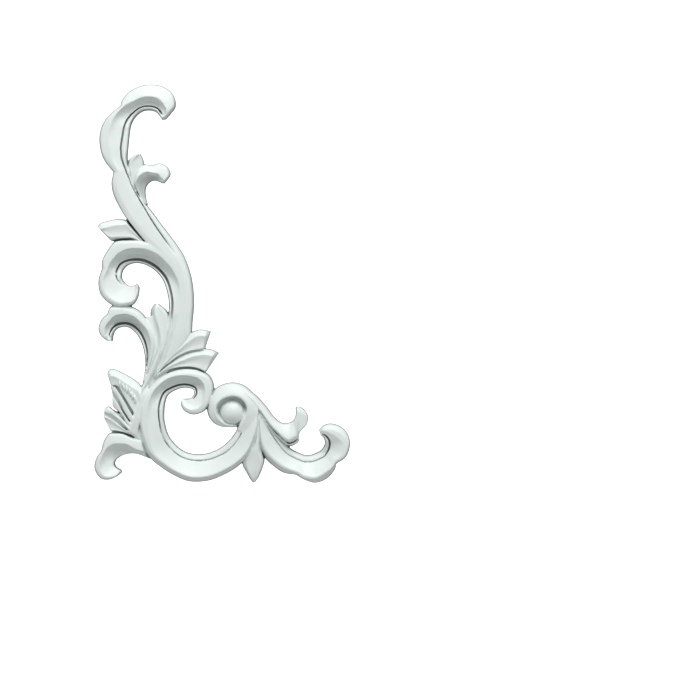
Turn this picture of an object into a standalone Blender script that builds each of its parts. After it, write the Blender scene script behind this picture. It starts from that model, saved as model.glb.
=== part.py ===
import math

import bpy
from mathutils import Vector

# A moulded PVC corner ornament: acanthus scrolls and leaves in relief on a flat back.
# All sizes below are millimetres. X runs to the right and Z up as the ornament hangs.
# The carving faces -Y and the flat back lies in the plane Y = 0.
# The zero point is on the flat back, behind the left side of the large ring scroll.
MM = 0.001

# The groove beside the bead that follows the inner edge of a scroll
GROOVE_WIDTH = 1.2
GROOVE_DEPTH = 1.7
BEAD_STANDS = 0.2
BEAD_CROWN = 0.1

# How the walls lean, and how much of a narrow length each part may take
WALL_LEAN = 0.25
INNER_LEAN = 0.3
INNER_ROUNDING = 0.8
COVE_ROOM = 1.0
GROOVE_SHARE = 0.45
EDGE_SHARE = 0.9
BEVEL_SHARE = 0.45
FAR_BEVEL_SHARE = 0.3
LIP = 0.4
LIP_SHARE = 0.1

# How far the middle of a cove has fallen: a hollow cove falls early, a flat one evenly
HOLLOW_FALL = 0.75
FLAT_FALL = 0.5

# The roll round the ball: its crest, and the slope down into the hollow inside it
ROLL_CREST = 2.2
ROLL_SIDE_DROP = 2.6
ROLL_SHOULDER = 0.3
ROLL_SHOULDER_FALL = 0.35
ROLL_INNER_FALL = 5.0
ROLL_FOOT_FALL = 8.0

# The ball in the eye of the small scroll
BALL_CENTRE = (50.2, 1.5)
BALL_RADIUS = 7.4
BALL_TOP = 13.4
BALL_FLOOR_CENTRE = (50.0, 2.7)
BALL_FLOOR_RADIUS = 9.5
BALL_FLOOR_RISE = 5.5

# The floor under the lobes of the serrated leaf
LEAF_FLOOR_RISE = 5.0

# How finely the moulding is followed
SCROLL_SPANS = 2
LEAF_SPANS = 1
BALL_SIDES = 20
BALL_RINGS = 5

# The pieces start behind the back plane and are cut off flat there
BACK_REACH = 1.5
BACK_REACH_STEP = 0.13
BACK_CUT_DEPTH = 20.0
BACK_CUT_WIDTH = 400.0


def clear_scene():
    for thing in list(bpy.data.objects):
        bpy.data.objects.remove(thing)


def pvc_material():
    material = bpy.data.materials.new("moulded_pvc")
    material.use_nodes = True
    shader = material.node_tree.nodes["Principled BSDF"]
    shader.inputs["Base Color"].default_value = (0.83, 0.86, 0.85, 1.0)
    shader.inputs["Roughness"].default_value = 0.5
    shader.inputs["Metallic"].default_value = 0.0
    return material


def at_rib(value, place):
    """A size at a place along the ribs: one number, or numbers for some ribs."""
    if not isinstance(value, dict):
        return value
    known = sorted(value)
    if place <= known[0]:
        return value[known[0]]
    for first, second in zip(known, known[1:]):
        if place <= second:
            blend = (place - first) / (second - first)
            return value[first] * (1.0 - blend) + value[second] * blend
    return value[known[-1]]


def tangents(points, index, corners):
    """The direction of a smooth line as it arrives at a point and as it leaves it."""
    here = points[index]
    before = points[max(index - 1, 0)]
    after = points[min(index + 1, len(points) - 1)]
    if index in corners:
        return here - before, after - here
    middle = (after - before) * 0.5
    return middle, middle


def smooth_line(points, corners, spans):
    """A smooth line through the points, with a sharp turn at each corner."""
    line = []
    for index in range(len(points) - 1):
        leave = tangents(points, index, corners)[1]
        arrive = tangents(points, index + 1, corners)[0]
        for step in range(spans):
            t = step / spans
            line.append(
                points[index] * (2 * t**3 - 3 * t**2 + 1)
                + leave * (t**3 - 2 * t**2 + t)
                + points[index + 1] * (3 * t**2 - 2 * t**3)
                + arrive * (t**3 - t**2)
            )
    line.append(points[-1])
    return line


def scroll_section(width, cut, reach):
    """Outer wall, bevel, band up to the ridge, cove, groove, bead and inner wall."""
    squeeze = min(1.0, width / (cut["band"] + cut["rim"] + COVE_ROOM))
    ridge = cut["band"] * squeeze
    rim = cut["rim"] * squeeze
    edge = min(cut["edge"] * squeeze, ridge * EDGE_SHARE)
    outer = cut["rise"] - cut["drop"]
    cove_end = width - rim
    fall = cut["hollow"] * HOLLOW_FALL + (1.0 - cut["hollow"]) * FLAT_FALL
    trough = cut["rise"] - cut["cove"]
    groove = min(GROOVE_WIDTH, rim * GROOVE_SHARE)
    bead_top = trough + BEAD_STANDS
    return [
        (0.0, -reach),
        (edge * WALL_LEAN, outer - cut["edge_drop"]),
        (edge, outer),
        (ridge, cut["rise"]),
        ((ridge + cove_end) / 2, cut["rise"] - cut["cove"] * fall),
        (cove_end + groove / 2, trough - GROOVE_DEPTH * cut["bead"]),
        (cove_end + groove, bead_top),
        (width - (rim - groove) / 3, bead_top - BEAD_CROWN),
        (width - INNER_LEAN * squeeze, bead_top - INNER_ROUNDING),
        (width, -reach),
    ]


def roll_section(width, cut, reach):
    """A rounded roll, highest near its inner edge, that slopes down into a hollow."""
    rise = cut["rise"]
    crest = max(width - ROLL_CREST, width / 2)
    inside = cut["inside"]
    return [
        (0.0, -reach),
        (LIP / 2, rise - cut["drop"] - ROLL_SIDE_DROP),
        (crest * ROLL_SHOULDER, rise - cut["drop"] * ROLL_SHOULDER_FALL),
        (crest, rise),
        (width - LIP, rise - INNER_ROUNDING),
        (width + inside * HOLLOW_FALL, rise - ROLL_INNER_FALL),
        (width + inside, rise - ROLL_FOOT_FALL),
        (width + inside, -reach),
    ]


def blade_section(width, cut, reach):
    """A leaf blade: a bevel up to a ridge, a hollow face, and a bevel at the far edge."""
    bevel = min(cut["bevel"], width * BEVEL_SHARE)
    far_bevel = min(cut["far_bevel"], width * FAR_BEVEL_SHARE)
    lip = min(LIP, width * LIP_SHARE)
    far = cut["rise"] - cut["fall"]
    face_end = width - far_bevel
    return [
        (0.0, -reach),
        (lip, cut["rise"] - cut["bevel_drop"]),
        (bevel, cut["rise"]),
        ((bevel + face_end) / 2, (cut["rise"] + far) / 2 - cut["sag"]),
        (face_end, far),
        (width - far_bevel * WALL_LEAN, far - cut["far_drop"]),
        (width, -reach),
    ]


def closed_body(sections):
    """The points and outward faces of one closed body through a row of sections."""
    per_section = len(sections[0])
    points = [point * MM for section in sections for point in section]
    faces = []
    for row in range(len(sections) - 1):
        for column in range(per_section):
            following = (column + 1) % per_section
            faces.append((
                row * per_section + column,
                row * per_section + following,
                (row + 1) * per_section + following,
                (row + 1) * per_section + column,
            ))
    faces.append(tuple(reversed(range(per_section))))
    last = (len(sections) - 1) * per_section
    faces.append(tuple(last + column for column in range(per_section)))
    volume = 0.0
    for face in faces:
        for corner in range(1, len(face) - 1):
            a, b, c = points[face[0]], points[face[corner]], points[face[corner + 1]]
            volume += a.dot(b.cross(c))
    if volume < 0.0:
        faces = [tuple(reversed(face)) for face in faces]
    return points, faces


def mesh_object(name, points, faces, material):
    mesh = bpy.data.meshes.new(name)
    mesh.from_pydata([tuple(point) for point in points], [], faces)
    mesh.materials.append(material)
    made = bpy.data.objects.new(name, mesh)
    bpy.context.scene.collection.objects.link(made)
    return made


def member(ribs, section, spans, corners, sizes, reach):
    """The sections of a length of carving between two edge lines, given as ribs.

    Each rib is (outer x, outer z, inner x, inner z), and sizes holds the relief there.
    """
    outer = [Vector((rib[0], 0.0, rib[1])) for rib in ribs]
    inner = [Vector((rib[2], 0.0, rib[3])) for rib in ribs]
    outer = smooth_line(outer, corners, spans)
    inner = smooth_line(inner, (), spans)
    sections = []
    for index, (start, end) in enumerate(zip(outer, inner)):
        across = end - start
        width = across.length
        across.normalize()
        cut = {name: at_rib(value, index / spans) for name, value in sizes.items()}
        sections.append([
            start + across * offset + Vector((0.0, -height, 0.0))
            for offset, height in section(width, cut, reach)
        ])
    return sections


class Carving:
    """Gathers the lengths of carving, each reaching a little further behind the back."""

    def __init__(self):
        self.points = []
        self.faces = []
        self.reach = BACK_REACH

    def add(self, sections):
        points, faces = closed_body(sections)
        first = len(self.points)
        self.points.extend(points)
        self.faces.extend(tuple(first + index for index in face) for face in faces)
        self.reach += BACK_REACH_STEP

    def scroll(self, ribs, corners=(), **sizes):
        given = {"edge": 1.2, "edge_drop": 1.2, "drop": 0.3, "hollow": 1.0, "bead": 0.0}
        given.update(sizes)
        self.add(member(ribs, scroll_section, SCROLL_SPANS, corners, given, self.reach))

    def roll(self, ribs, **sizes):
        self.add(member(ribs, roll_section, SCROLL_SPANS, (), sizes, self.reach))

    def blade(self, ribs, **sizes):
        self.add(member(ribs, blade_section, LEAF_SPANS, (), sizes, self.reach))


def stem(carving):
    """The tall S-shaped stem, from the tip of its top curl down to its thin foot."""
    ribs = [
        (10.3, 177.2, 8.0, 176.9),
        (13.2, 180.5, 6.9, 178.6),
        (16.0, 184.5, 5.6, 180.3),
        (15.9, 189.0, 4.2, 181.6),
        (13.2, 194.0, 2.6, 182.2),
        (8.0, 197.3, 0.8, 182.5),
        (1.5, 198.6, -1.2, 182.5),
        (-5.5, 197.4, -3.2, 182.1),
        (-12.0, 194.0, -5.2, 181.0),
        (-16.2, 189.0, -7.0, 179.4),
        (-17.3, 185.6, -8.3, 177.9),
        (-22.8, 181.2, -9.8, 175.4),
        (-27.6, 175.2, -10.9, 172.0),
        (-29.8, 167.5, -11.6, 166.5),
        (-29.3, 159.5, -12.2, 160.5),
        (-26.8, 152.6, -12.6, 154.0),
        (-21.4, 145.6, -11.8, 147.4),
        (-22.6, 139.0, -10.6, 142.0),
        (-21.2, 131.5, -9.0, 137.4),
        (-17.0, 123.2, -5.3, 130.8),
        (-13.2, 117.3, -1.5, 126.3),
        (-8.0, 110.5, 3.0, 121.5),
        (-3.0, 104.5, 7.5, 115.2),
        (3.0, 98.6, 12.2, 109.0),
        (9.5, 93.0, 17.4, 101.6),
        (14.4, 86.6, 21.9, 94.0),
        (17.8, 78.0, 25.8, 82.0),
        (17.5, 66.0, 27.2, 68.5),
        (14.8, 52.5, 26.3, 56.0),
        (11.8, 41.0, 25.3, 48.5),
        (9.5, 34.5, 19.5, 40.0),
        (5.8, 27.5, 11.5, 31.5),
        (2.0, 21.0, 4.6, 23.2),
    ]
    carving.scroll(
        ribs, corners=(10, 16),
        rise={0: 11.0, 2: 12.0, 28: 12.0, 30: 11.5, 32: 10.0},
        edge={0: 0.8, 18: 1.2, 20: 0.6, 27: 0.6, 28: 1.6, 32: 1.6},
        edge_drop={0: 0.8, 18: 1.2, 20: 0.8, 27: 0.4, 28: 1.6, 32: 1.6},
        band={0: 1.5, 2: 6.2, 3: 7.7, 4: 8.4, 6: 7.5, 8: 6.4, 9: 3.8, 10: 1.8, 12: 5.0, 14: 6.0,
              16: 3.5, 23: 3.5, 26: 2.0},
        drop={0: 1.0, 2: 2.6, 4: 4.0, 7: 4.2, 8: 3.6, 10: 0.6, 17: 0.8, 22: 0.8, 24: 0.2},
        cove={0: 0.5, 2: 2.6, 4: 4.4, 6: 5.0, 10: 5.0, 12: 2.6, 14: 1.2, 22: 0.7, 26: 0.1},
        hollow={10: 1.0, 13: 0.4, 22: 0.0},
        bead={1: 0.0, 2.5: 1.0, 23: 1.0, 24.3: 0.0},
        rim={0: 2.2, 12: 3.2, 18: 2.8, 24: 3.2},
    )


def upper_hook(carving):
    """The C-shaped scroll under the leaf on the left, ending in a round hook."""
    ribs = [
        (12.5, 39.0, 8.5, 40.5),
        (16.5, 49.5, 10.6, 51.0),
        (19.5, 60.0, 11.6, 60.5),
        (21.5, 70.0, 11.8, 68.0),
        (21.5, 79.0, 10.3, 75.5),
        (18.8, 88.0, 8.0, 81.3),
        (13.5, 96.0, 4.2, 86.0),
        (6.0, 101.8, 0.0, 89.0),
        (-3.0, 104.8, -4.0, 90.6),
        (-12.5, 105.3, -8.2, 91.0),
        (-20.5, 104.2, -11.8, 90.0),
        (-25.2, 98.4, -14.4, 88.0),
        (-28.3, 92.5, -15.8, 85.4),
        (-28.2, 88.2, -16.1, 83.5),
        (-30.4, 81.0, -15.8, 81.6),
        (-29.6, 73.6, -14.2, 79.3),
        (-25.8, 68.4, -12.4, 77.9),
        (-20.0, 65.0, -11.0, 77.5),
        (-14.0, 64.6, -9.7, 77.6),
        (-9.0, 66.4, -8.5, 78.0),
        (-6.2, 71.0, -7.6, 78.6),
        (-5.4, 76.5, -6.9, 79.2),
    ]
    carving.scroll(
        ribs, corners=(13,),
        rise={0: 9.5, 2: 12.0, 20: 12.0, 21: 11.0},
        edge={6: 0.5, 8: 2.0, 10: 2.0, 11: 1.4, 21: 0.7},
        edge_drop={6: 0.4, 8: 2.0, 10: 2.0, 11: 1.4, 21: 0.7},
        band={3: 3.0, 4: 3.5, 6: 5.3, 9: 5.5, 10: 7.3, 12: 5.0, 14: 2.5, 18: 3.2, 21: 1.2},
        drop={6: 0.0, 8: 0.4},
        cove={2: 0.0, 4: 2.4, 6: 5.2, 12: 5.2, 14: 3.4, 16: 4.0, 19: 4.0, 21: 2.0},
        hollow={3: 0.5, 5: 1.0, 12: 1.0, 15: 0.2},
        bead={0: 0.0, 2.5: 1.0, 13: 1.0, 15.5: 0.0},
        rim={2: 2.6, 5: 2.2, 10: 2.2, 13: 3.4, 17: 1.5},
    )


def lower_hook(carving):
    """The smaller C-shaped scroll below it, with its tip turned down on the left."""
    ribs = [
        (-1.0, 21.0, -3.8, 20.0),
        (1.0, 28.0, -2.4, 28.5),
        (3.6, 36.0, -2.8, 36.5),
        (4.9, 43.5, -4.6, 43.4),
        (3.2, 51.0, -7.8, 48.8),
        (-0.5, 57.0, -11.0, 51.7),
        (-5.0, 62.2, -13.8, 52.8),
        (-11.0, 65.4, -16.2, 52.6),
        (-18.0, 66.2, -18.2, 52.0),
        (-23.2, 65.0, -19.6, 51.0),
        (-25.1, 60.8, -20.3, 50.0),
        (-28.8, 57.0, -20.9, 48.6),
        (-30.4, 51.6, -21.3, 46.9),
        (-28.6, 47.2, -21.3, 45.5),
        (-25.0, 44.3, -21.4, 44.4),
    ]
    carving.scroll(
        ribs, corners=(10,),
        rise={0: 8.5, 2: 10.0, 4: 11.5, 13: 11.5, 14: 10.5},
        edge={2: 0.8, 4: 2.8, 8: 2.8, 10: 1.2},
        edge_drop={2: 0.8, 4: 2.6, 8: 2.6, 10: 1.2},
        band={2: 3.0, 5: 4.5, 7: 5.3, 9: 6.5, 10: 4.2, 12: 4.4, 14: 1.5},
        cove={0: 0.3, 2: 1.4, 5: 5.0, 9: 5.2, 12: 3.0, 14: 1.0},
        hollow={2: 0.4, 5: 1.0, 11: 1.0, 12: 0.6},
        bead={0: 0.2, 2: 0.9, 10: 1.0, 13.5: 0.0},
        rim=2.2,
    )


def ring(carving):
    """The large ring scroll, from its small curled tip round to the right arm."""
    ribs = [
        (19.2, 8.6, 20.6, 9.6),
        (19.4, 5.0, 22.6, 9.9),
        (22.0, 1.8, 24.4, 10.0),
        (26.5, 0.2, 25.6, 10.6),
        (32.0, 1.6, 26.5, 11.7),
        (36.0, 5.5, 27.0, 13.0),
        (38.3, 11.5, 26.8, 14.3),
        (39.2, 17.5, 26.2, 15.4),
        (36.8, 23.5, 25.0, 16.3),
        (31.5, 27.5, 22.8, 16.8),
        (24.5, 29.2, 20.0, 16.7),
        (16.5, 28.5, 17.2, 15.9),
        (9.0, 25.5, 14.2, 14.4),
        (2.5, 20.0, 11.6, 11.8),
        (-2.0, 13.0, 10.2, 8.4),
        (-5.2, 4.0, 9.4, 3.2),
        (-6.0, -7.5, 9.5, -3.4),
        (-2.8, -20.0, 11.4, -10.8),
        (1.0, -26.2, 14.0, -15.2),
        (7.0, -31.2, 17.6, -19.0),
        (14.5, -36.0, 21.8, -21.8),
        (24.5, -39.9, 27.6, -23.3),
        (36.5, -39.2, 34.8, -22.9),
        (47.5, -34.6, 41.5, -20.3),
        (54.8, -29.7, 46.0, -17.2),
        (60.5, -23.5, 49.6, -13.4),
        (64.0, -15.5, 52.2, -9.4),
        (66.2, -6.5, 54.0, -5.0),
        (66.0, 1.5, 55.8, -0.5),
        (64.0, 8.0, 57.3, 4.8),
    ]
    carving.scroll(
        ribs,
        rise={0: 10.5, 2: 12.5, 4: 13.0, 26: 13.0, 28: 11.5, 29: 8.0},
        edge={0: 0.8, 6: 1.2, 9: 3.3, 12: 3.0, 15: 1.4, 17: 1.8, 19: 2.4, 25: 2.4, 29: 0.8},
        edge_drop={0: 0.8, 6: 1.2, 9: 3.0, 12: 3.0, 15: 1.4, 16: 1.4, 18: 3.6, 20: 5.0,
                   24: 5.0, 27: 1.4, 29: 0.8},
        band={0: 1.0, 2: 2.5, 4: 3.5, 6: 5.0, 8: 6.5, 12: 3.9, 14: 3.9, 16: 5.0, 18: 3.6,
              24: 3.2, 26: 2.6},
        drop={0: 0.5, 13: 0.5, 20: 0.1},
        cove={0: 1.0, 2: 2.2, 4: 3.0, 6: 3.0, 8: 5.0, 13: 5.2, 15: 3.0, 16: 2.4, 20: 4.6,
              23: 4.6, 25: 3.2, 27: 1.8, 29: 1.2},
        hollow={5: 0.5, 7: 1.0, 14: 1.0, 17: 0.2, 24: 0.1, 27: 0.4},
        bead={3: 0.0, 4.5: 1.0, 27: 1.0, 29: 0.0},
        rim={4: 1.6, 11: 2.2, 15: 3.6, 24: 3.6, 27: 3.2},
    )


def ball_scroll(carving):
    """The end of the ring's right arm, which curls over and round the ball."""
    ribs = [
        (63.0, -15.0, 53.2, -9.4),
        (66.0, -6.5, 54.6, -5.0),
        (66.9, 1.5, 56.2, -0.5),
        (65.5, 8.5, 57.3, 4.8),
        (61.5, 14.5, 55.8, 9.2),
        (56.5, 18.3, 53.0, 11.3),
        (50.5, 19.7, 50.0, 11.8),
        (44.3, 18.6, 47.0, 11.2),
        (39.7, 15.9, 44.4, 9.3),
        (36.4, 11.0, 42.6, 6.6),
        (34.9, 5.0, 41.8, 3.4),
        (35.4, 0.0, 42.0, 0.2),
        (38.5, -4.6, 43.2, -2.4),
        (43.5, -7.0, 45.6, -4.6),
        (49.0, -7.3, 49.0, -5.9),
        (53.5, -7.2, 53.0, -6.3),
    ]
    carving.roll(
        ribs,
        rise={0: 9.0, 1: 11.4, 2: 12.9, 3: 13.2, 9: 13.0, 12: 12.4, 14: 11.0, 15: 9.5},
        drop={0: 0.2, 2: 0.3, 3: 1.2, 4: 2.8, 5: 3.6, 8: 3.6, 10: 2.4, 13: 2.4, 15: 2.0},
        inside={0: 0.3, 2: 0.6, 4: 1.6, 11: 1.4, 13: 1.0, 15: 0.2},
    )


def shoulder_leaf(carving):
    """The leaf that leaves the ball scroll at the top and curls up on the right."""
    ribs = [
        (57.0, 17.6, 55.0, 12.5),
        (64.0, 12.4, 60.5, 8.0),
        (70.5, 5.4, 66.0, 0.0),
        (75.4, -1.2, 71.5, -7.5),
        (80.0, -4.5, 77.0, -13.5),
        (84.2, -4.4, 83.5, -18.8),
        (86.4, -3.0, 89.6, -16.2),
        (87.5, -1.4, 90.4, -10.6),
        (88.0, 0.6, 94.4, -6.0),
        (88.0, 2.6, 95.5, -1.0),
        (87.9, 4.2, 93.4, 3.2),
        (88.6, 5.3, 91.0, 4.9),
    ]
    carving.scroll(
        ribs,
        rise={0: 11.5, 1: 12.8, 2: 12.4, 6: 12.0, 9: 11.5, 11: 10.0},
        edge={0: 1.0, 2: 1.6, 5: 1.4, 7: 1.0, 11: 0.7},
        edge_drop={0: 1.2, 2: 1.8, 5: 1.6, 7: 1.0, 11: 0.7},
        band={0: 2.5, 2: 4.5, 4: 6.5, 5: 9.6, 6: 8.0, 7: 3.0, 8: 1.4, 11: 1.0},
        drop={0: 1.6, 4: 3.2, 5: 4.0, 6: 3.0, 7: 0.8, 8: 0.2},
        cove={0: 0.6, 3: 0.8, 4: 3.0, 5: 5.6, 6: 4.4, 7: 2.6, 10: 1.6, 11: 0.6},
        hollow={0: 0.0, 6: 0.2, 8: 1.0},
        rim=0.8,
    )


def foot_scroll(carving):
    """The long scroll at the lower right, ending in a round volute."""
    ribs = [
        (62.5, 6.0, 66.0, 7.0),
        (65.0, -3.0, 71.0, 2.0),
        (65.2, -12.0, 73.5, -5.5),
        (66.5, -20.0, 77.5, -11.5),
        (69.9, -26.2, 81.0, -15.8),
        (75.0, -31.0, 84.2, -19.2),
        (80.8, -34.7, 87.6, -21.4),
        (88.2, -35.9, 91.2, -23.0),
        (93.0, -38.8, 93.8, -23.9),
        (100.0, -40.7, 97.2, -23.7),
        (107.0, -38.0, 100.4, -22.5),
        (111.4, -33.0, 102.8, -21.2),
        (112.5, -29.2, 104.0, -20.0),
        (118.2, -25.2, 105.0, -18.4),
        (121.1, -18.0, 105.5, -16.6),
        (119.6, -12.0, 105.3, -15.2),
        (115.8, -7.3, 104.8, -14.0),
        (110.0, -5.0, 104.2, -13.2),
        (105.0, -5.9, 103.5, -12.6),
        (101.9, -9.0, 102.9, -11.9),
    ]
    carving.scroll(
        ribs, corners=(7, 12),
        rise={0: 9.0, 1: 11.4, 3: 12.0, 17: 12.0, 19: 10.0},
        edge={0: 0.8, 2: 1.8, 4: 3.0, 6: 3.0, 7: 1.4, 9: 3.0, 10: 3.2, 12: 1.0, 19: 0.8},
        edge_drop={0: 1.0, 2: 2.0, 4: 6.0, 6: 6.0, 7: 3.0, 9: 6.0, 10: 6.0, 12: 1.0, 19: 0.8},
        band={0: 2.0, 4: 4.0, 6: 4.0, 7: 2.4, 9: 4.0, 10: 4.2, 12: 2.0, 14: 2.6, 15: 5.8,
              17: 6.5, 19: 1.5},
        drop={0: 0.2, 13: 0.3, 14: 0.8, 16: 3.5, 17: 3.4, 19: 0.8},
        cove={0: 0.5, 2: 1.6, 4: 3.4, 6: 4.4, 10: 4.8, 16: 4.2, 17: 3.0, 19: 0.8},
        hollow={0: 0.2, 12: 0.3, 14: 0.6, 16: 1.0},
        bead={0: 0.0, 2: 1.0, 15: 1.0, 18.5: 0.0},
        rim={0: 2.0, 3: 3.2, 5: 3.6, 9: 4.0, 13: 3.4, 17: 2.0, 19: 1.4},
    )


def corner_scroll(carving):
    """The short hook at the lower left corner."""
    ribs = [
        (-1.0, -15.0, 2.0, -26.8),
        (-9.0, -12.9, -7.0, -23.5),
        (-15.0, -10.6, -12.0, -23.3),
        (-20.0, -10.3, -16.0, -24.4),
        (-24.2, -11.2, -18.4, -25.8),
        (-27.2, -15.6, -19.6, -27.0),
        (-28.8, -21.4, -20.0, -27.9),
        (-32.0, -26.6, -20.2, -28.8),
        (-33.1, -32.4, -20.0, -29.9),
        (-29.4, -37.8, -19.4, -30.8),
        (-24.5, -38.9, -18.4, -31.6),
        (-19.6, -37.1, -17.2, -32.3),
        (-16.2, -34.6, -15.9, -33.0),
    ]
    carving.scroll(
        ribs, corners=(6,),
        rise={0: 9.0, 2: 11.2, 9: 11.2, 12: 9.5},
        edge={0: 1.5, 5: 1.5, 12: 0.8},
        edge_drop={0: 1.5, 5: 1.5, 12: 0.8},
        band={0: 8.0, 1: 8.0, 2: 7.2, 4: 7.0, 5: 4.5, 6: 2.0, 7: 3.0, 10: 2.6, 12: 1.0},
        drop={0: 0.6, 3: 1.0, 6: 0.3},
        cove={0: 1.0, 2: 5.0, 4: 5.6, 7: 4.6, 9: 4.0, 12: 1.2},
        hollow={0: 0.5, 3: 1.0, 5: 1.0, 9: 0.2},
        rim=0.8,
    )


def stem_curl(carving):
    """The small curl that grows from the right side of the stem."""
    ribs = [
        (-5.0, 127.5, -0.5, 126.0),
        (-8.5, 134.0, -1.7, 130.5),
        (-9.8, 140.0, -1.9, 135.0),
        (-7.5, 145.5, -1.0, 137.6),
        (-3.2, 150.2, 0.6, 139.4),
        (1.5, 150.0, 2.6, 140.4),
        (6.5, 151.1, 4.4, 140.4),
        (11.0, 149.0, 5.6, 140.0),
        (13.1, 144.6, 6.6, 139.6),
        (11.4, 141.3, 7.2, 139.3),
        (9.4, 138.8, 7.9, 138.9),
    ]
    carving.scroll(
        ribs,
        rise={0: 5.5, 1: 7.0, 2: 9.5, 3: 10.5, 9: 10.5, 10: 9.0},
        edge={0: 0.6, 3: 1.2, 4: 2.0, 7: 2.0, 10: 0.7},
        edge_drop={0: 0.6, 3: 1.2, 4: 1.8, 7: 1.8, 10: 0.7},
        band={0: 1.0, 3: 1.7, 4: 4.0, 5: 3.8, 6: 6.9, 7: 7.8, 8: 6.0, 10: 1.2},
        drop={0: 0.2, 4: 1.0, 9: 0.4},
        cove={0: 1.0, 1: 2.6, 3: 5.2, 5: 5.4, 7: 2.6, 8: 1.4, 10: 0.6},
        rim=0.6,
    )


def stem_bud(carving):
    """The bud between the stem and its small curl."""
    ribs = [
        (-11.5, 136.0, -7.5, 137.5),
        (-12.6, 146.0, -5.8, 145.5),
        (-12.6, 151.0, -3.0, 150.0),
        (-11.2, 153.8, -3.2, 153.2),
        (-8.0, 156.2, -4.4, 155.9),
    ]
    carving.blade(
        ribs, rise={0: 9.0, 1: 10.0, 3: 10.0, 4: 8.5}, bevel=1.2, bevel_drop=1.2, fall=0.3,
        sag=0.4, far_bevel=2.0, far_drop=2.0,
    )


def side_leaf(carving):
    """The broad leaf that points left from the stem."""
    ribs = [
        (-1.0, 104.0, -2.0, 101.0),
        (-8.0, 111.5, -9.5, 104.3),
        (-13.3, 117.2, -14.5, 104.6),
        (-19.5, 117.6, -19.0, 104.5),
        (-25.0, 116.5, -22.6, 104.5),
        (-29.6, 115.0, -25.5, 107.2),
        (-30.7, 112.8, -29.2, 111.0),
    ]
    carving.blade(
        ribs, rise={0: 10.0, 2: 12.0, 4: 12.0, 6: 10.0}, bevel=3.6, bevel_drop=4.0, fall=0.6,
        sag=0.7, far_bevel=1.8, far_drop=4.5,
    )


def hook_bud(carving):
    """The bud inside the upper hook, with the strip that runs down from it."""
    ribs = [
        (-7.5, 11.0, -3.5, 9.5),
        (-3.8, 19.0, 0.2, 17.5),
        (-0.6, 25.5, 3.4, 24.0),
        (1.8, 31.5, 6.0, 30.0),
        (4.0, 38.0, 9.3, 37.0),
        (4.8, 45.0, 12.0, 45.0),
        (3.6, 51.0, 13.2, 52.0),
        (1.6, 57.0, 13.0, 58.5),
        (0.8, 61.0, 10.8, 62.6),
        (1.6, 64.4, 8.2, 65.0),
        (3.4, 66.9, 5.9, 67.0),
    ]
    carving.blade(
        ribs, rise={0: 11.5, 2: 11.8, 4: 11.2, 6: 10.6, 9: 10.0, 10: 8.5},
        bevel={0: 1.6, 4: 2.2, 8: 3.0}, bevel_drop={0: 1.8, 4: 2.0, 6: 3.6, 8: 4.0},
        fall={0: 1.4, 4: 1.2, 6: 0.2}, sag=0.3, far_bevel={0: 0.6, 4: 0.8, 6: 1.8},
        far_drop={0: 0.8, 6: 1.4},
    )


def gathering_floor(carving):
    """The floor that joins the strips where the stem, the hooks and the leaves meet."""
    ribs = [
        (-6.0, -15.0, 3.0, -17.0),
        (-8.0, -3.0, 3.0, -3.0),
        (-6.5, 10.0, 5.0, 12.0),
        (-2.8, 20.0, 9.0, 22.0),
        (-1.2, 28.0, 14.0, 28.0),
        (0.5, 36.0, 18.0, 36.0),
        (2.0, 44.0, 18.0, 46.0),
        (0.0, 51.0, 15.5, 53.0),
        (-2.0, 56.5, 13.5, 58.5),
        (-2.0, 58.8, 9.0, 60.5),
    ]
    carving.blade(
        ribs, rise={0: 5.0, 2: 7.5, 6: 7.5, 9: 6.5}, bevel=1.0, bevel_drop=0.5, fall=0.0,
        sag=0.0, far_bevel=0.6, far_drop=0.5,
    )


def leaf_root(carving):
    """The smooth face between the serrated leaf and the left side of the ring."""
    ribs = [
        (-4.4, -18.5, 1.0, -18.0),
        (-7.8, -9.0, -1.5, -9.0),
        (-9.6, -2.0, -3.0, -2.0),
        (-9.0, 5.0, -2.5, 5.0),
        (-6.4, 12.0, -0.5, 12.0),
        (-4.0, 18.0, 0.5, 18.0),
    ]
    carving.blade(
        ribs, rise={0: 8.0, 1: 11.0, 2: 11.8, 3: 11.8, 5: 9.5}, bevel=3.0, bevel_drop=1.2,
        fall=0.2, sag=0.0, far_bevel=0.6, far_drop=1.0,
    )


def upper_fan_leaf(carving):
    """The upper of the two leaves that fan out over the ring."""
    ribs = [
        (4.0, 26.0, 6.0, 25.0),
        (8.2, 32.5, 12.0, 30.0),
        (13.0, 38.8, 18.0, 34.5),
        (18.5, 44.6, 24.0, 37.4),
        (25.0, 49.4, 28.4, 38.4),
        (31.0, 51.4, 31.4, 38.8),
        (37.3, 50.3, 33.6, 39.4),
    ]
    carving.blade(
        ribs, rise={0: 10.0, 1: 11.6, 6: 12.0}, bevel=3.8, bevel_drop=3.6, fall=0.8, sag=0.6,
        far_bevel=1.2, far_drop=3.5,
    )


def lower_fan_leaf(carving):
    """The lower of the two leaves that fan out over the ring."""
    ribs = [
        (3.0, 22.8, 4.5, 21.5),
        (8.0, 28.0, 10.0, 25.0),
        (15.0, 33.6, 17.5, 27.0),
        (22.0, 37.6, 24.5, 27.6),
        (29.5, 39.6, 30.0, 26.0),
        (36.5, 39.7, 33.6, 25.2),
        (42.1, 37.4, 34.8, 26.4),
    ]
    carving.blade(
        ribs, rise={0: 9.8, 1: 11.4, 6: 11.8}, bevel=3.8, bevel_drop=3.6, fall=0.8, sag=0.6,
        far_bevel=1.2, far_drop=3.5,
    )


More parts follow.
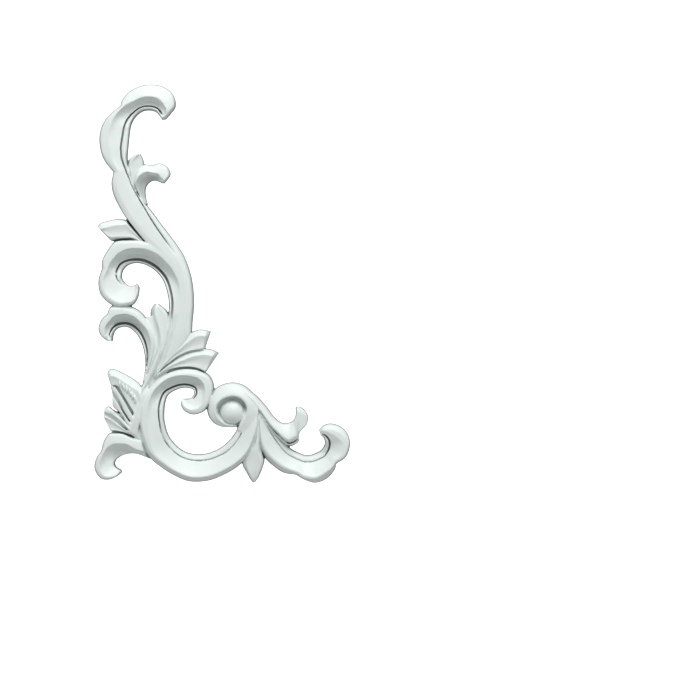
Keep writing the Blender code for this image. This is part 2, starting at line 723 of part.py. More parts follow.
def lower_leaf(carving):
    """The pointed leaf that hangs between the ring and the foot scroll."""
    ribs = [
        (63.5, -5.0, 67.5, -5.0),
        (63.0, -14.0, 67.2, -14.0),
        (59.0, -22.0, 68.2, -21.0),
        (56.0, -29.0, 69.4, -26.8),
        (58.6, -34.8, 68.0, -32.2),
        (60.9, -38.8, 65.9, -37.0),
        (62.4, -40.7, 63.7, -40.3),
    ]
    carving.blade(
        ribs, rise={0: 10.5, 2: 11.2, 4: 10.6, 5: 9.6, 6: 8.0},
        bevel={0: 1.6, 2: 3.6, 3: 3.0, 4: 1.4}, bevel_drop={0: 1.5, 2: 3.0, 4: 1.4},
        fall=0.0, sag=0.5, far_bevel={0: 1.6, 2: 3.0, 3: 2.4, 4: 1.2},
        far_drop={0: 1.5, 2: 3.0, 4: 1.4},
    )


def serrated_leaf(carving):
    """The leaf at the left: five lobes on a floor, with a narrow valley between each."""
    upper_floor = [
        (-4.0, 8.0, -9.0, -8.0),
        (-8.0, 19.0, -14.5, -1.5),
        (-14.0, 23.0, -18.5, 3.5),
        (-20.0, 26.0, -21.2, 9.0),
        (-23.5, 25.5, -23.3, 20.0),
    ]
    lower_floor = [
        (-4.0, -2.0, -5.0, -15.5),
        (-12.0, 1.0, -12.5, -12.8),
        (-18.0, 1.5, -19.0, -10.6),
        (-23.0, 4.0, -23.5, -7.0),
        (-26.0, 3.0, -26.3, -0.5),
    ]
    for ribs in (upper_floor, lower_floor):
        carving.blade(
            ribs, rise=LEAF_FLOOR_RISE, bevel=1.0, bevel_drop=0.5, fall=0.0, sag=0.0,
            far_bevel=0.6, far_drop=0.5,
        )
    top_lobe = [
        (-3.0, 11.0, -8.0, -1.0),
        (-5.0, 18.0, -10.7, 3.5),
        (-10.0, 22.2, -14.2, 9.5),
        (-15.5, 25.3, -17.3, 14.5),
        (-20.5, 27.5, -20.3, 18.7),
        (-24.0, 27.2, -23.4, 21.5),
        (-25.1, 24.6, -24.6, 22.5),
    ]
    second_lobe = [
        (-7.7, -4.0, -11.5, -6.0),
        (-10.9, 3.0, -14.0, 1.5),
        (-14.7, 9.5, -17.3, 7.6),
        (-18.1, 15.3, -21.7, 12.2),
        (-21.0, 19.2, -23.7, 17.6),
        (-23.0, 22.8, -24.8, 22.2),
    ]
    third_lobe = [
        (-9.5, -6.5, -12.0, -8.0),
        (-14.0, 0.7, -16.5, -1.0),
        (-17.7, 7.2, -19.0, 2.5),
        (-20.5, 11.1, -21.2, 5.0),
        (-21.8, 12.2, -22.3, 6.8),
    ]
    fourth_lobe = [
        (-9.5, -6.0, -12.0, -9.5),
        (-14.5, -0.5, -16.0, -5.3),
        (-19.5, 2.8, -19.5, -2.3),
        (-23.0, 5.2, -23.5, 0.0),
        (-26.3, 4.6, -26.8, 0.6),
        (-27.5, 2.6, -27.6, 1.6),
    ]
    fifth_lobe = [
        (-8.5, -9.0, -8.5, -13.0),
        (-13.0, -8.5, -13.5, -10.3),
        (-17.5, -4.6, -18.5, -9.7),
        (-22.5, -1.0, -22.8, -9.9),
        (-26.2, 0.3, -24.8, -6.8),
        (-27.3, -0.3, -26.9, -1.8),
    ]
    carving.blade(
        top_lobe, rise={0: 11.2, 4: 10.6, 6: 8.0}, bevel={0: 3.0, 2: 5.4, 4: 5.0, 5: 3.0},
        bevel_drop=3.4, fall=1.4, sag=0.6, far_bevel=0.8, far_drop=2.0,
    )
    carving.blade(
        second_lobe, rise={0: 10.8, 3: 10.0, 5: 7.5}, bevel={0: 1.4, 3: 1.6}, bevel_drop=1.8,
        fall=1.6, sag=0.2, far_bevel=0.6, far_drop=2.0,
    )
    carving.blade(
        third_lobe, rise={0: 10.4, 2: 9.6, 4: 8.0}, bevel={0: 1.2, 3: 2.2}, bevel_drop=2.0,
        fall=1.6, sag=0.2, far_bevel=0.6, far_drop=2.4,
    )
    carving.blade(
        fourth_lobe, rise={0: 10.4, 3: 9.8, 5: 7.5}, bevel={0: 1.4, 3: 2.6}, bevel_drop=2.4,
        fall=1.4, sag=0.2, far_bevel=0.6, far_drop=2.4,
    )
    carving.blade(
        fifth_lobe, rise={0: 10.0, 3: 9.4, 5: 7.0}, bevel={0: 1.2, 3: 1.8}, bevel_drop=1.8,
        fall=1.2, sag=0.6, far_bevel=0.6, far_drop=2.6,
    )


def round_sections(middle, profile):
    """The rounds of a turned shape. The profile gives their radius and height."""
    centre = Vector((middle[0], 0.0, middle[1]))
    sections = []
    for radius, height in profile:
        section = []
        for side in range(BALL_SIDES):
            turn = math.radians(360.0) * side / BALL_SIDES
            offset = Vector((math.cos(turn) * radius, -height, math.sin(turn) * radius))
            section.append(centre + offset)
        sections.append(section)
    return sections


def ball(carving):
    """The round ball and the floor of the hollow that it stands in."""
    dome_base = BALL_TOP - BALL_RADIUS
    floor = [(BALL_FLOOR_RADIUS, -carving.reach), (BALL_FLOOR_RADIUS, BALL_FLOOR_RISE)]
    carving.add(round_sections(BALL_FLOOR_CENTRE, floor))
    dome = [(BALL_RADIUS, -carving.reach)]
    for step in range(BALL_RINGS):
        angle = math.radians(90.0) * step / BALL_RINGS
        dome.append((
            BALL_RADIUS * math.cos(angle), dome_base + BALL_RADIUS * math.sin(angle),
        ))
    carving.add(round_sections(BALL_CENTRE, dome))


def back_cut(material):
    """A block behind the back plane, which leaves the back flat."""
    half = BACK_CUT_WIDTH / 2
    corners = [(-half, -half), (half, -half), (half, half), (-half, half)]
    front = [Vector((x, 0.0, z)) for x, z in corners]
    rear = [Vector((x, BACK_CUT_DEPTH, z)) for x, z in corners]
    points, faces = closed_body([front, rear])
    return mesh_object("back_cut", points, faces, material)


def build():
    clear_scene()
    carving = Carving()
    stem(carving)
    upper_hook(carving)
    lower_hook(carving)
    ring(carving)
    ball_scroll(carving)
    ball(carving)
    foot_scroll(carving)
    shoulder_leaf(carving)
    corner_scroll(carving)
    stem_curl(carving)
    stem_bud(carving)
    side_leaf(carving)
    hook_bud(carving)
    upper_fan_leaf(carving)
    lower_fan_leaf(carving)
    lower_leaf(carving)
    serrated_leaf(carving)
    leaf_root(carving)
    gathering_floor(carving)
    material = pvc_material()
    ornament = mesh_object("corner_ornament", carving.points, carving.faces, material)
    for polygon in ornament.data.polygons:
        polygon.use_smooth = True
    cutter = back_cut(material)
    cutter.hide_render = True
    cutter.display_type = "WIRE"
    # The lengths of carving run into each other, so they are merged as they are cut.
    cut = ornament.modifiers.new("flat_back", "BOOLEAN")
    cut.operation = "DIFFERENCE"
    cut.solver = "EXACT"
    cut.use_self = True
    cut.object = cutter


build()
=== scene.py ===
import math

import bmesh
import bpy
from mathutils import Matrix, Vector


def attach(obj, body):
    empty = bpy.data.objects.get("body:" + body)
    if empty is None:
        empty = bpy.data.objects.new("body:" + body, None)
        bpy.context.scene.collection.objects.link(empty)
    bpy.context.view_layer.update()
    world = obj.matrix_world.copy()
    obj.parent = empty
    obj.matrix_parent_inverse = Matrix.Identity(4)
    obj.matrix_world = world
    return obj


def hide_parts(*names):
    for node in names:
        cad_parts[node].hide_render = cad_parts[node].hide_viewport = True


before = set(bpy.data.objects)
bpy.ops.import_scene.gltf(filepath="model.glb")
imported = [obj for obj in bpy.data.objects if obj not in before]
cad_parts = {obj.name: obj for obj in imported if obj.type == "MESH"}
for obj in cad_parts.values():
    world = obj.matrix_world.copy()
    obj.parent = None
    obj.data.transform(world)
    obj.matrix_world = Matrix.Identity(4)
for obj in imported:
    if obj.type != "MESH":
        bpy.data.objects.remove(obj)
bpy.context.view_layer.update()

# A moulded PVC corner ornament: acanthus scrolls, leaves and a ball in relief.
# Sizes are millimetres, X to the right and Z up as the ornament hangs.
# The carving faces -Y, and its flat back lies in the plane Y = 0.
MM = 0.001

# How many steps there are from rib to rib, how fine the casting's grain is, how its edges
# are softened, and how far the carving reaches past the back before it is cut flat. The
# cut's tolerance is in metres
SPANS = 7
CASTING_GRAIN = 0.28
SOFTENING = 0.5
SOFTENING_PASSES = 1
CARVING_TRIANGLES = 185000
BACK_REACH = 2.0
CUT_TOLERANCE = 1e-7

# The trimmed foot round the back edge, and how high up the walls are painted greyer, as painted
# shade near the back
FOOT_WIDTH = 0.45
FOOT_HEIGHT = 0.8
FOOT_SHARE = 0.12
BACK_SHADE_HEIGHT = 6.5

# Shapes across a scroll: how far below its bevel the outer wall ends, the rounded bevel as
# shares of its width and height, the crowned band, the cove that falls suddenly from its
# ridge, and the room that a cove keeps on a narrow rib
OUTER_WALL_DROP = 0.5
OUTER_BEVEL = ((0.28, 0.30), (0.66, 0.72))
LEAST_BEVEL = 0.1
BEVEL_SHARE = 0.9
BAND_STEPS = 5
BAND_CROWN = 1.4
COVE_STEPS = 12
COVE_CROWDING = 1.4
COVE_SHARPNESS = 3.0
COVE_ROOM = 1.0

# The rim along the inner edge of the scrolls: how far in and down its corner is rounded,
# how far down its wall starts, and the groove in it, which has steep sides
RIM_CORNER = (0.2, 0.4)
RIM_EDGE_DROP = 0.9
GROOVE_SHARE = 0.6
GROOVE_DEPTH = 3.6
GROOVE_SLOPE = 0.3
GROOVE_SLOPE_SHARE = 0.3
GROOVE_START = 0.9
ROUND_OFF_START = 0.25

# A rim that leans inwards: how far it drops, the share of that at its middle, how far it
# rises beside its groove, and how much shallower that groove is
LEAN_DROP = 1.6
LEAN_MIDDLE = 0.4
LEAN_RISE = 0.25
LEAN_SHALLOWER = 0.7

# The bead on the rim: how flat it is, how far the rim sinks under it, and how far the bead
# is lifted and shifted in. Where it would be fainter than this, the groove alone is left
BEAD_SIDES = 14
BEAD_FLATNESS = 0.8
BEAD_SEAT = 0.9
BEAD_LIFT = 0.3
BEAD_SHIFT = 0.1
FAINTEST_BEAD = 0.62

# Shapes across a leaf blade: how far below its bevel the wall ends, the bevel as shares of
# its width and height, the most of a narrow blade that a bevel takes, and the far edge
BLADE_WALL_DROP = 0.4
BLADE_BEVEL = ((0.08, 0.0), (0.55, 0.58))
BLADE_STEPS = 7
BLADE_BEVEL_SHARE = 0.45
FAR_BEVEL_SHARE = 0.3
FAR_ROUNDING = (0.3, 0.7)

# Shapes across the roll round the ball: its crown, how far its crest is from the inner rim
# or as a share of the width, and its rim and inside slope, as places and drops
ROLL_WALL_DROP = 2.6
ROLL_STEPS = 7
ROLL_CROWN = 1.3
ROLL_EDGE = 0.3
ROLL_FIRST_STEP = 0.6
ROLL_CREST = (0.9, 0.6)
ROLL_RIM = ((0.3, 0.2), (0.0, 0.8))
ROLL_INSIDE = ((0.25, 2.6), (0.6, 5.0), (1.0, 8.0))

# The ball in the eye of the small scroll
BALL_CENTRE = (50.1, 1.7)
BALL_RADIUS = 7.7
BALL_TOP = 13.2
BALL_FLOOR_CENTRE = (50.0, 2.7)
BALL_FLOOR_RADIUS = 9.5
BALL_FLOOR_RISE = 6.6
BALL_SIDES = 64
BALL_RINGS = 20

# Short ribs of the veined leaf, and the fold that they lie along, as the photograph shows it
LEAF_RIBS = 6
LEAF_RIB_LENGTH = 5.2
LEAF_RIB_WIDTH = 1.2
LEAF_RIB_HEIGHT = 3.4
LEAF_RIB_LEAN = (72.0, 88.0)
LEAF_RIB_SEED = 4
LEAF_FOLD = ((-17.4, -10.4, 18.4), (-14.0, -10.6, 16.2), (-10.9, -10.8, 13.2), (-8.4, -10.9, 9.6))

# The photograph: how far away it was taken, how wide its view is at the flat back,
# and the point that its middle looks at
VIEW_DISTANCE = 1000.0
VIEW_WIDTH = 420.0
VIEW_MIDDLE = Vector((120.6, 0.0, 39.0))
SENSOR_WIDTH = 36.0

# How far in from an edge the carving makes room for a wall that shows in the photograph,
# how much of that room the wall may take, and the least that an edge is taken to face it
WALL_MARGIN = 3.0
WALL_SHARE = 0.8
LEAST_FACING = 0.35

# White PVC: its colours, its gloss, its patterns, in repeats to a metre, and their heights
PVC_SHADE = "DFE7E4"
PVC_WHITE = "E9F1EE"
# Painted shade: the grey painted on the back and the lower walls, near the back edge
BACK_SHADE_GREY = "969C9A"
PVC_IOR = 1.53
PVC_ROUGHNESS = (0.42, 0.55)
CLOUDS = 40.0
WAVES = 125.0
WAVE_HEIGHT = 0.6
GRAINS = 1100.0
GRAIN_HEIGHT = 0.06

# Painted shade in the grooves and creases: how near a facing surface has to be for it to darken a
# place, how open a place is where the painted shade starts and where it is darkest, and how much
# of the colour it then covers
GROOVE_SHADE_GREY = "707673"
GROOVE_SHADE_REACH = 2.6
GROOVE_SHADE_STARTS = 0.5
GROOVE_SHADE_DARKEST = 0.18
GROOVE_SHADE_COVER = 0.8

# The sockets of a Mix node that hold its two colours and its result
MIX_FIRST = 6
MIX_SECOND = 7
MIX_RESULT = 2

# The studio, in metres: how far the camera sees, the floor, the backdrop, the light of the
# air, and the middle that the soft lights point at. Each light has its place from there,
# its side and its power in watts
FARTHEST_SEEN = 20.0
FLOOR_DROP = 1.5
FLOOR_RADIUS = 3.9
BACKDROP_RADIUS = 4.0
AIR_STRENGTH = 0.36
LIT_MIDDLE = (0.045, 0.0, 0.08)
SOFT_LIGHTS = {
    "key": ((0.25, -1.0, 1.28), 0.9, 18.8),
    "high": ((0.0, -0.6, 1.5), 0.9, 4.0),
    "left_fill": ((-1.5, -0.45, 0.35), 0.6, 3.2),
    "right_fill": ((0.75, -0.8, 0.1), 0.6, 0.9),
}


def at_rib(value, place):
    """A size at a place along the ribs: one number, or numbers for some ribs."""
    if not isinstance(value, dict):
        return value
    known = sorted(value)
    if place <= known[0]:
        return value[known[0]]
    for first, second in zip(known, known[1:]):
        if place <= second:
            blend = (place - first) / (second - first)
            return value[first] * (1.0 - blend) + value[second] * blend
    return value[known[-1]]


def smooth_line(points, corners):
    """A smooth line through the points, with a sharp turn at each corner."""

    def direction(index, arriving):
        before = points[max(index - 1, 0)]
        after = points[min(index + 1, len(points) - 1)]
        if index in corners:
            return points[index] - before if arriving else after - points[index]
        return (after - before) * 0.5

    line = []
    for index in range(len(points) - 1):
        leave = direction(index, False)
        arrive = direction(index + 1, True)
        for step in range(SPANS):
            t = step / SPANS
            line.append(
                points[index] * (2 * t**3 - 3 * t**2 + 1)
                + leave * (t**3 - 2 * t**2 + t)
                + points[index + 1] * (3 * t**2 - 2 * t**3)
                + arrive * (t**3 - t**2)
            )
    line.append(points[-1])
    return line


def true_place(seen, height):
    """Where a point at this height really is, when the photograph shows it at a place."""
    return VIEW_MIDDLE + (seen - VIEW_MIDDLE) * (1.0 - max(height, 0.0) / VIEW_DISTANCE)


def edge_outward(line, index, away):
    """The direction square to an edge line, on the side that points away from the carving."""
    along = line[min(index + 1, len(line) - 1)] - line[max(index - 1, 0)]
    outward = Vector((along.z, 0.0, -along.x)).normalized()
    return -outward if outward.dot(away) < 0.0 else outward


def wall_shows(edge, outward, away, height, margin):
    """How much of an upright wall shows along a rib, where it faces the photograph's middle."""
    width = (VIEW_MIDDLE - edge).dot(outward) * max(height, 0.0) / VIEW_DISTANCE
    width /= max(outward.dot(away), LEAST_FACING)
    return min(max(width, 0.0), margin * WALL_SHARE)


def foot_of(width):
    """The width of the thin trimmed foot that runs round the back edge."""
    return min(FOOT_WIDTH, width * FOOT_SHARE)


def bead_strength(cut):
    """How full the bead is: none at all where the groove alone is left."""
    return max(0.0, (cut["bead"] - FAINTEST_BEAD) / (1.0 - FAINTEST_BEAD))


def rim_and_groove(width, cut):
    """How far a narrow rib squeezes its profile, and the width of its rim and groove."""
    squeeze = min(1.0, width / (cut["band"] + cut["rim"] + COVE_ROOM))
    rim = cut["rim"] * squeeze
    return squeeze, rim, min(cut["groove"], rim * GROOVE_SHARE)


def outer_foot(foot):
    """The start of a profile: up the outer back edge and in over the trimmed foot."""
    return [(0.0, -BACK_REACH), (0.0, FOOT_HEIGHT), (foot, FOOT_HEIGHT)]


def inner_foot(width, foot):
    """The end of a profile: out over the trimmed foot and down the inner back edge."""
    return [(width - foot, FOOT_HEIGHT), (width, FOOT_HEIGHT), (width, -BACK_REACH)]


def scroll_profile(width, cut):
    """Foot, bevelled outer edge, band, ridge, cove, groove, rim, inner wall and foot."""
    foot = foot_of(width)
    squeeze, rim, groove = rim_and_groove(width, cut)
    ridge = cut["band"] * squeeze
    edge = min(cut["edge"] * squeeze, ridge * BEVEL_SHARE)
    outer = cut["rise"] - cut["drop"]
    low = outer - cut["edge_drop"]
    profile = outer_foot(foot)
    profile.append((foot, low - OUTER_WALL_DROP))
    for along, up in OUTER_BEVEL:
        profile.append((foot + (edge - foot) * along, low + cut["edge_drop"] * up))
    profile.append((max(edge, foot + LEAST_BEVEL), outer))
    for step in range(1, BAND_STEPS):
        share = step / BAND_STEPS
        height = outer + cut["drop"] * (1.0 - (1.0 - share) ** BAND_CROWN)
        profile.append((edge + (ridge - edge) * share, height))
    profile.append((ridge, cut["rise"]))
    cove_end = width - rim
    for step in range(1, COVE_STEPS + 1):
        share = (step / COVE_STEPS) ** COVE_CROWDING
        curved = 1.0 - (1.0 - share) ** COVE_SHARPNESS
        fall = cut["hollow"] * curved + (1.0 - cut["hollow"]) * share
        profile.append((ridge + (cove_end - ridge) * share, cut["rise"] - cut["cove"] * fall))
    profile.extend(rim_profile(cove_end, width - foot, cut, squeeze, rim, groove))
    return profile + inner_foot(width, foot)


def rim_profile(cove_end, inner, cut, squeeze, rim, groove):
    """From the end of the cove: down into the groove, over the rim, to the inner wall."""
    trough = cut["rise"] - cut["cove"]
    lean = cut["lean"]
    lean_drop = LEAN_DROP * lean
    depth = GROOVE_DEPTH * cut["bead"] * (1.0 - LEAN_SHALLOWER * lean)
    slope = min(GROOVE_SLOPE, groove * GROOVE_SLOPE_SHARE)
    strength = bead_strength(cut)
    top = trough - BEAD_SEAT * strength * (1.0 - lean) + LEAN_RISE * lean
    round_off = cut["round_off"] * (1.0 - strength)
    middle_top = top - round_off * 0.5 - LEAN_DROP * LEAN_MIDDLE * lean
    corner_in, corner_down = RIM_CORNER
    return [
        (cove_end + slope, trough - depth * GROOVE_START),
        (cove_end + groove - slope, trough - depth),
        (cove_end + groove, top - round_off * ROUND_OFF_START),
        (cove_end + (rim + groove) * 0.5, middle_top),
        (inner - corner_in * squeeze, top - corner_down - round_off - lean_drop),
        (inner, top - RIM_EDGE_DROP - round_off - lean_drop),
    ]


def roll_profile(width, cut):
    """A rounded roll, highest near its inner rim, that slopes steeply down inside."""
    foot = foot_of(width)
    rise = cut["rise"]
    inset, least_share = ROLL_CREST
    crest = max(width - inset, width * least_share)
    profile = outer_foot(foot)
    profile.append((foot, rise - cut["drop"] - ROLL_WALL_DROP))
    for step in range(1, ROLL_STEPS + 1):
        height = rise - cut["drop"] * (1.0 - step / ROLL_STEPS) ** ROLL_CROWN
        reach = (crest - foot - ROLL_EDGE) * (step - ROLL_FIRST_STEP)
        place = foot + ROLL_EDGE + reach / (ROLL_STEPS - ROLL_FIRST_STEP)
        profile.append((place, height))
    for inwards, down in ROLL_RIM:
        profile.append((width - inwards, rise - down))
    for share, down in ROLL_INSIDE:
        profile.append((width + cut["inside"] * share, rise - down))
    profile.append((width + cut["inside"], -BACK_REACH))
    return profile


def blade_profile(width, cut):
    """A leaf blade: a bevel up to a ridge, a hollow face, and a cut far edge."""
    foot = foot_of(width)
    bevel = min(cut["bevel"], width * BLADE_BEVEL_SHARE)
    far_bevel = min(cut["far_bevel"], width * FAR_BEVEL_SHARE)
    rise = cut["rise"]
    far = rise - cut["fall"]
    outer = rise - cut["bevel_drop"]
    profile = outer_foot(foot)
    profile.append((foot, outer - BLADE_WALL_DROP))
    for along, up in BLADE_BEVEL:
        profile.append((foot + (bevel - foot) * along, outer + cut["bevel_drop"] * up))
    profile.append((bevel, rise))
    face_end = width - far_bevel
    for step in range(1, BLADE_STEPS):
        share = step / BLADE_STEPS
        sag = cut["sag"] * math.sin(math.pi * share)
        profile.append((bevel + (face_end - bevel) * share, rise - cut["fall"] * share - sag))
    profile.append((face_end, far))
    inwards, down = FAR_ROUNDING
    profile.append((width - foot - (far_bevel - foot) * inwards, far - cut["far_drop"] * down))
    profile.append((width - foot, far - cut["far_drop"]))
    return profile + inner_foot(width, foot)


def closed_body(sections):
    """The points and outward faces of one closed body through a row of sections."""
    per_section = len(sections[0])
    points = [point for section in sections for point in section]
    faces = []
    for row in range(len(sections) - 1):
        for column in range(per_section):
            following = (column + 1) % per_section
            faces.append((
                row * per_section + column,
                row * per_section + following,
                (row + 1) * per_section + following,
                (row + 1) * per_section + column,
            ))
    faces.append(tuple(reversed(range(per_section))))
    last = (len(sections) - 1) * per_section
    faces.append(tuple(last + column for column in range(per_section)))
    volume = 0.0
    for face in faces:
        for corner in range(1, len(face) - 1):
            a, b, c = points[face[0]], points[face[corner]], points[face[corner + 1]]
            volume += a.dot(b.cross(c))
    if volume < 0.0:
        faces = [tuple(reversed(face)) for face in faces]
    return points, faces


def end_caps(outer, inner, middles):
    """The middle of each end of a length, and the way that its flat end faces."""
    caps = []
    for last, before in ((0, 1), (len(outer) - 1, len(outer) - 2)):
        out = middles[last] - middles[before]
        rib = outer[last] - inner[last]
        square = Vector((rib.z, 0.0, -rib.x)).normalized()
        caps.append((middles[last], -square if square.dot(out) < 0.0 else square))
    return caps


def bead_place(width, cut):
    """How far in from the inner edge a bead lies, how high it is, and half its width."""
    squeeze, rim, groove = rim_and_groove(width, cut)
    room = rim - groove
    foot = foot_of(width)
    half = (room - foot) * 0.5 * math.sqrt(bead_strength(cut))
    height = cut["rise"] - cut["cove"] + BEAD_LIFT - half * BEAD_FLATNESS
    return room * 0.5 + BEAD_SHIFT + foot * 0.5, height - LEAN_DROP * cut["lean"], half


class Carving:
    """Gathers the closed lengths of carving, and the lines that the beads follow."""

    # What most lengths have, unless they say otherwise
    usual = {
        "hollow": 1.0, "groove": 1.3, "bead": 0.0, "lean": 0.0, "round_off": 0.8,
        "far_bevel": 0.6, "far_drop": 1.0, "wall": 1.0,
    }

    def __init__(self):
        self.points = []
        self.faces = []
        self.beads = []

    def add(self, sections):
        """Adds one closed body."""
        points, faces = closed_body(sections)
        first = len(self.points)
        self.points.extend(point * MM for point in points)
        self.faces.extend(tuple(first + index for index in face) for face in faces)

    def scroll(self, ribs, corners=(), **sizes):
        """One length of scroll, with a band, a cove and a rim."""
        self.length(ribs, scroll_profile, corners, **sizes)

    def blade(self, ribs, corners=(), **sizes):
        """One length of leaf, or of the floor between leaves."""
        self.length(ribs, blade_profile, corners, **sizes)

    def length(self, ribs, profile, corners=(), **sizes):
        """One length between two edge lines. Each rib is outer x, z and inner x, z."""
        outer = smooth_line([Vector((rib[0], 0.0, rib[1])) for rib in ribs], corners)
        inner = smooth_line([Vector((rib[2], 0.0, rib[3])) for rib in ribs], ())
        chosen = dict(self.usual, **sizes)
        middles = [(start + end) * 0.5 for start, end in zip(outer, inner)]
        caps = end_caps(outer, inner, middles)
        sections = []
        bead_line = []
        for index, (start, end) in enumerate(zip(outer, inner)):
            place = index / SPANS
            cut = {name: at_rib(value, place) for name, value in chosen.items()}
            across = end - start
            width = across.length
            across.normalize()
            margin = min(WALL_MARGIN, width * 0.5)
            start_out = edge_outward(outer, index, -across)
            end_out = edge_outward(inner, index, across)

            def placed(offset, height):
                from_start = max(0.0, 1.0 - abs(offset) / margin) * cut["wall"]
                from_end = max(0.0, 1.0 - abs(width - offset) / margin) * cut["wall"]
                offset += from_start * wall_shows(start, start_out, -across, height, margin)
                offset -= from_end * wall_shows(end, end_out, across, height, margin)
                seen = start + across * offset
                for cap, out in caps:
                    distance = (middles[index] - cap).length
                    near = max(0.0, 1.0 - distance / WALL_MARGIN) * cut["wall"]
                    seen = seen - out * near * wall_shows(cap, out, out, height, WALL_MARGIN)
                return true_place(seen, height) + Vector((0.0, -height, 0.0))

            sections.append([placed(offset, height) for offset, height in profile(width, cut)])
            if cut["bead"] > FAINTEST_BEAD:
                inset, height, half = bead_place(width, cut)
                middle = placed(width - inset, height)
                bead_line.append((middle.x, middle.z, height, half))
            elif bead_line:
                self.beads.append(bead_line)
                bead_line = []
        if bead_line:
            self.beads.append(bead_line)
        self.add(sections)


def stem(carving):
    """The tall S-shaped stem, from the tip of its top curl down to its thin foot."""
    ribs = [
        (10.3, 177.2, 8, 176.9), (13.2, 180.5, 6.9, 178.6), (16, 184.5, 5.6, 180.3),
        (15.9, 189, 4.2, 181.6), (13.2, 194, 2.6, 182.2), (8, 197.3, 0.8, 182.5),
        (1.5, 198.4, -1.2, 182.5), (-5.5, 197.4, -3.2, 182.1), (-12, 194, -5.2, 181),
        (-16.2, 189, -7, 179.4), (-17.3, 185.6, -8.3, 177.9), (-22.8, 181.2, -9.8, 175.4),
        (-27.6, 175.2, -10.9, 172), (-29.8, 167.5, -11.6, 166.5), (-29.3, 159.5, -12.2, 160.5),
        (-26.8, 152.6, -12.6, 154), (-21.4, 145.6, -11.8, 147.4), (-22.6, 139, -10.6, 142),
        (-21.2, 131.5, -9, 137.4), (-17, 123.2, -5.3, 130.8), (-13.2, 117.3, -1.5, 126.3),
        (-8, 110.5, 2.6, 121.4), (-3, 104.5, 7.2, 115.1), (3, 98.6, 12, 108.9),
        (9.5, 93, 17.4, 101.5), (14.4, 86.6, 21.9, 94), (17.8, 78, 25.8, 82),
        (17.5, 66, 27.2, 68.5), (14.8, 52.5, 26.3, 56), (11.8, 41, 25.3, 48.5),
        (9.5, 34.5, 19.5, 40), (5.8, 27.5, 11.5, 31.5), (2, 21, 4.6, 23.2),
    ]
    carving.scroll(
        ribs, (10, 16),
        rise={0: 11, 2: 12, 28: 12, 30: 11.5, 32: 10},
        edge={0: 0.8, 18: 1.2, 20: 0.6, 27: 0.6, 28: 1.6},
        edge_drop={0: 0.8, 18: 1.2, 20: 0.8, 27: 0.4, 28: 1.6},
        band={0: 1.5, 2: 6.2, 3: 7.7, 4: 8.4, 6: 7.5, 8: 6.4, 9: 3.8, 10: 1.8, 11: 3, 12: 5, 14: 6,
              16: 3.5, 23: 3.5, 26: 2},
        drop={0: 1, 2: 2.4, 4: 3.4, 7: 3.6, 8: 3.2, 9: 2, 10: 0.6, 14: 0.5, 17: 0.8, 22: 0.8,
              24: 0.2},
        cove={0: 0.5, 1: 1.2, 2: 2.4, 4: 4.2, 6: 4.6, 10: 4.8, 11: 4, 12: 2.6, 14: 1.2, 16: 0.9,
              22: 0.7, 24: 0.2, 26: 0},
        hollow={10: 1, 13: 0.4, 22: 0},
        bead={1: 0, 2.5: 1, 14: 1, 16: 0.6, 23: 0.6, 24.4: 0},
        wall={15: 1, 16: 0.2, 19.4: 0.2, 20.6: 1},
        rim={0: 1.8, 2: 2.6, 4: 3.2, 9: 3.4, 12: 4.7, 14: 5.4, 15: 4.4, 16: 2.8, 17: 1.6, 19: 1.6,
             20: 2.6, 21: 3.9, 22: 4.4, 24: 5.2},
        groove={0: 1, 3: 1.5, 9: 1.7, 13: 1.7, 15: 1.2, 17: 1},
        round_off={22: 0.8, 24: 1.6, 26: 1.4, 29: 0.8},
    )


def upper_hook(carving):
    """The C-shaped scroll under the leaf on the left, ending in a round hook."""
    ribs = [
        (10, 32, 6.8, 33.5), (16, 49.5, 10.6, 51), (19.5, 60, 11.6, 60.5),
        (21.5, 70, 11.8, 68), (21.5, 79, 10.3, 75.5), (18.8, 88, 8, 81.3),
        (13.5, 96, 4.2, 86), (6, 101.8, 0, 89), (-3, 104.8, -4, 90.6),
        (-12.5, 105.3, -8.2, 91), (-20.5, 104.2, -11.8, 90), (-25.2, 98.4, -14.4, 88),
        (-28.3, 92.5, -15.8, 85.4), (-28.2, 88.2, -16.1, 83.5), (-30.4, 81, -15.8, 81.6),
        (-29.6, 73.6, -14.2, 79.3), (-25.8, 68.4, -12.4, 77.9), (-20, 65, -11, 77.5),
        (-14, 64.6, -9.7, 77.6), (-9, 66.4, -8.5, 78), (-6.2, 71, -7.6, 78.6),
        (-5.4, 76.5, -6.9, 79.2),
    ]
    carving.scroll(
        ribs, (13,),
        rise={0: 8, 1: 11, 2: 12, 20: 12, 21: 11},
        edge={6: 0.5, 7: 1.4, 8: 2, 10: 2, 11: 1.4, 16: 1.2, 18: 1.6, 20: 1.6, 21: 0.9},
        edge_drop={6: 0.4, 7: 1.2, 8: 2, 10: 2, 11: 1.4, 16: 1.2, 18: 3.6, 20: 3.6, 21: 1.5},
        band={3: 3, 4: 3.5, 5: 4.6, 6: 5.3, 8: 5, 9: 5.5, 10: 7.3, 11: 5.8, 12: 5, 13: 3.5,
              14: 2.5, 16: 3, 18: 3.2, 20: 2.2, 21: 1.2},
        drop={6: 0, 8: 0.4, 15: 0.4, 17: 0.5, 21: 0.4},
        cove={2: 0, 3: 0.8, 4: 2.8, 5: 5.2, 6: 6.4, 11: 6.4, 12: 5.8, 13: 4.4, 14: 3.4, 16: 4,
              19: 4, 21: 2},
        hollow={3: 0.5, 5: 1, 12: 1, 13: 0.6, 15: 0.2, 21: 0.1},
        bead={0: 0, 1.5: 0.3, 2.5: 1, 13: 1, 14.5: 0.6, 15.5: 0},
        rim={2: 2.8, 5: 3.2, 9: 3.2, 10: 3.6, 11: 4.4, 13: 4.4, 14: 3.8, 15: 3, 17: 1.5},
        groove={2: 1.2, 5: 1.6, 7: 1.9, 9: 1.9, 11: 1.5, 13: 1.2, 14: 0.8},
    )


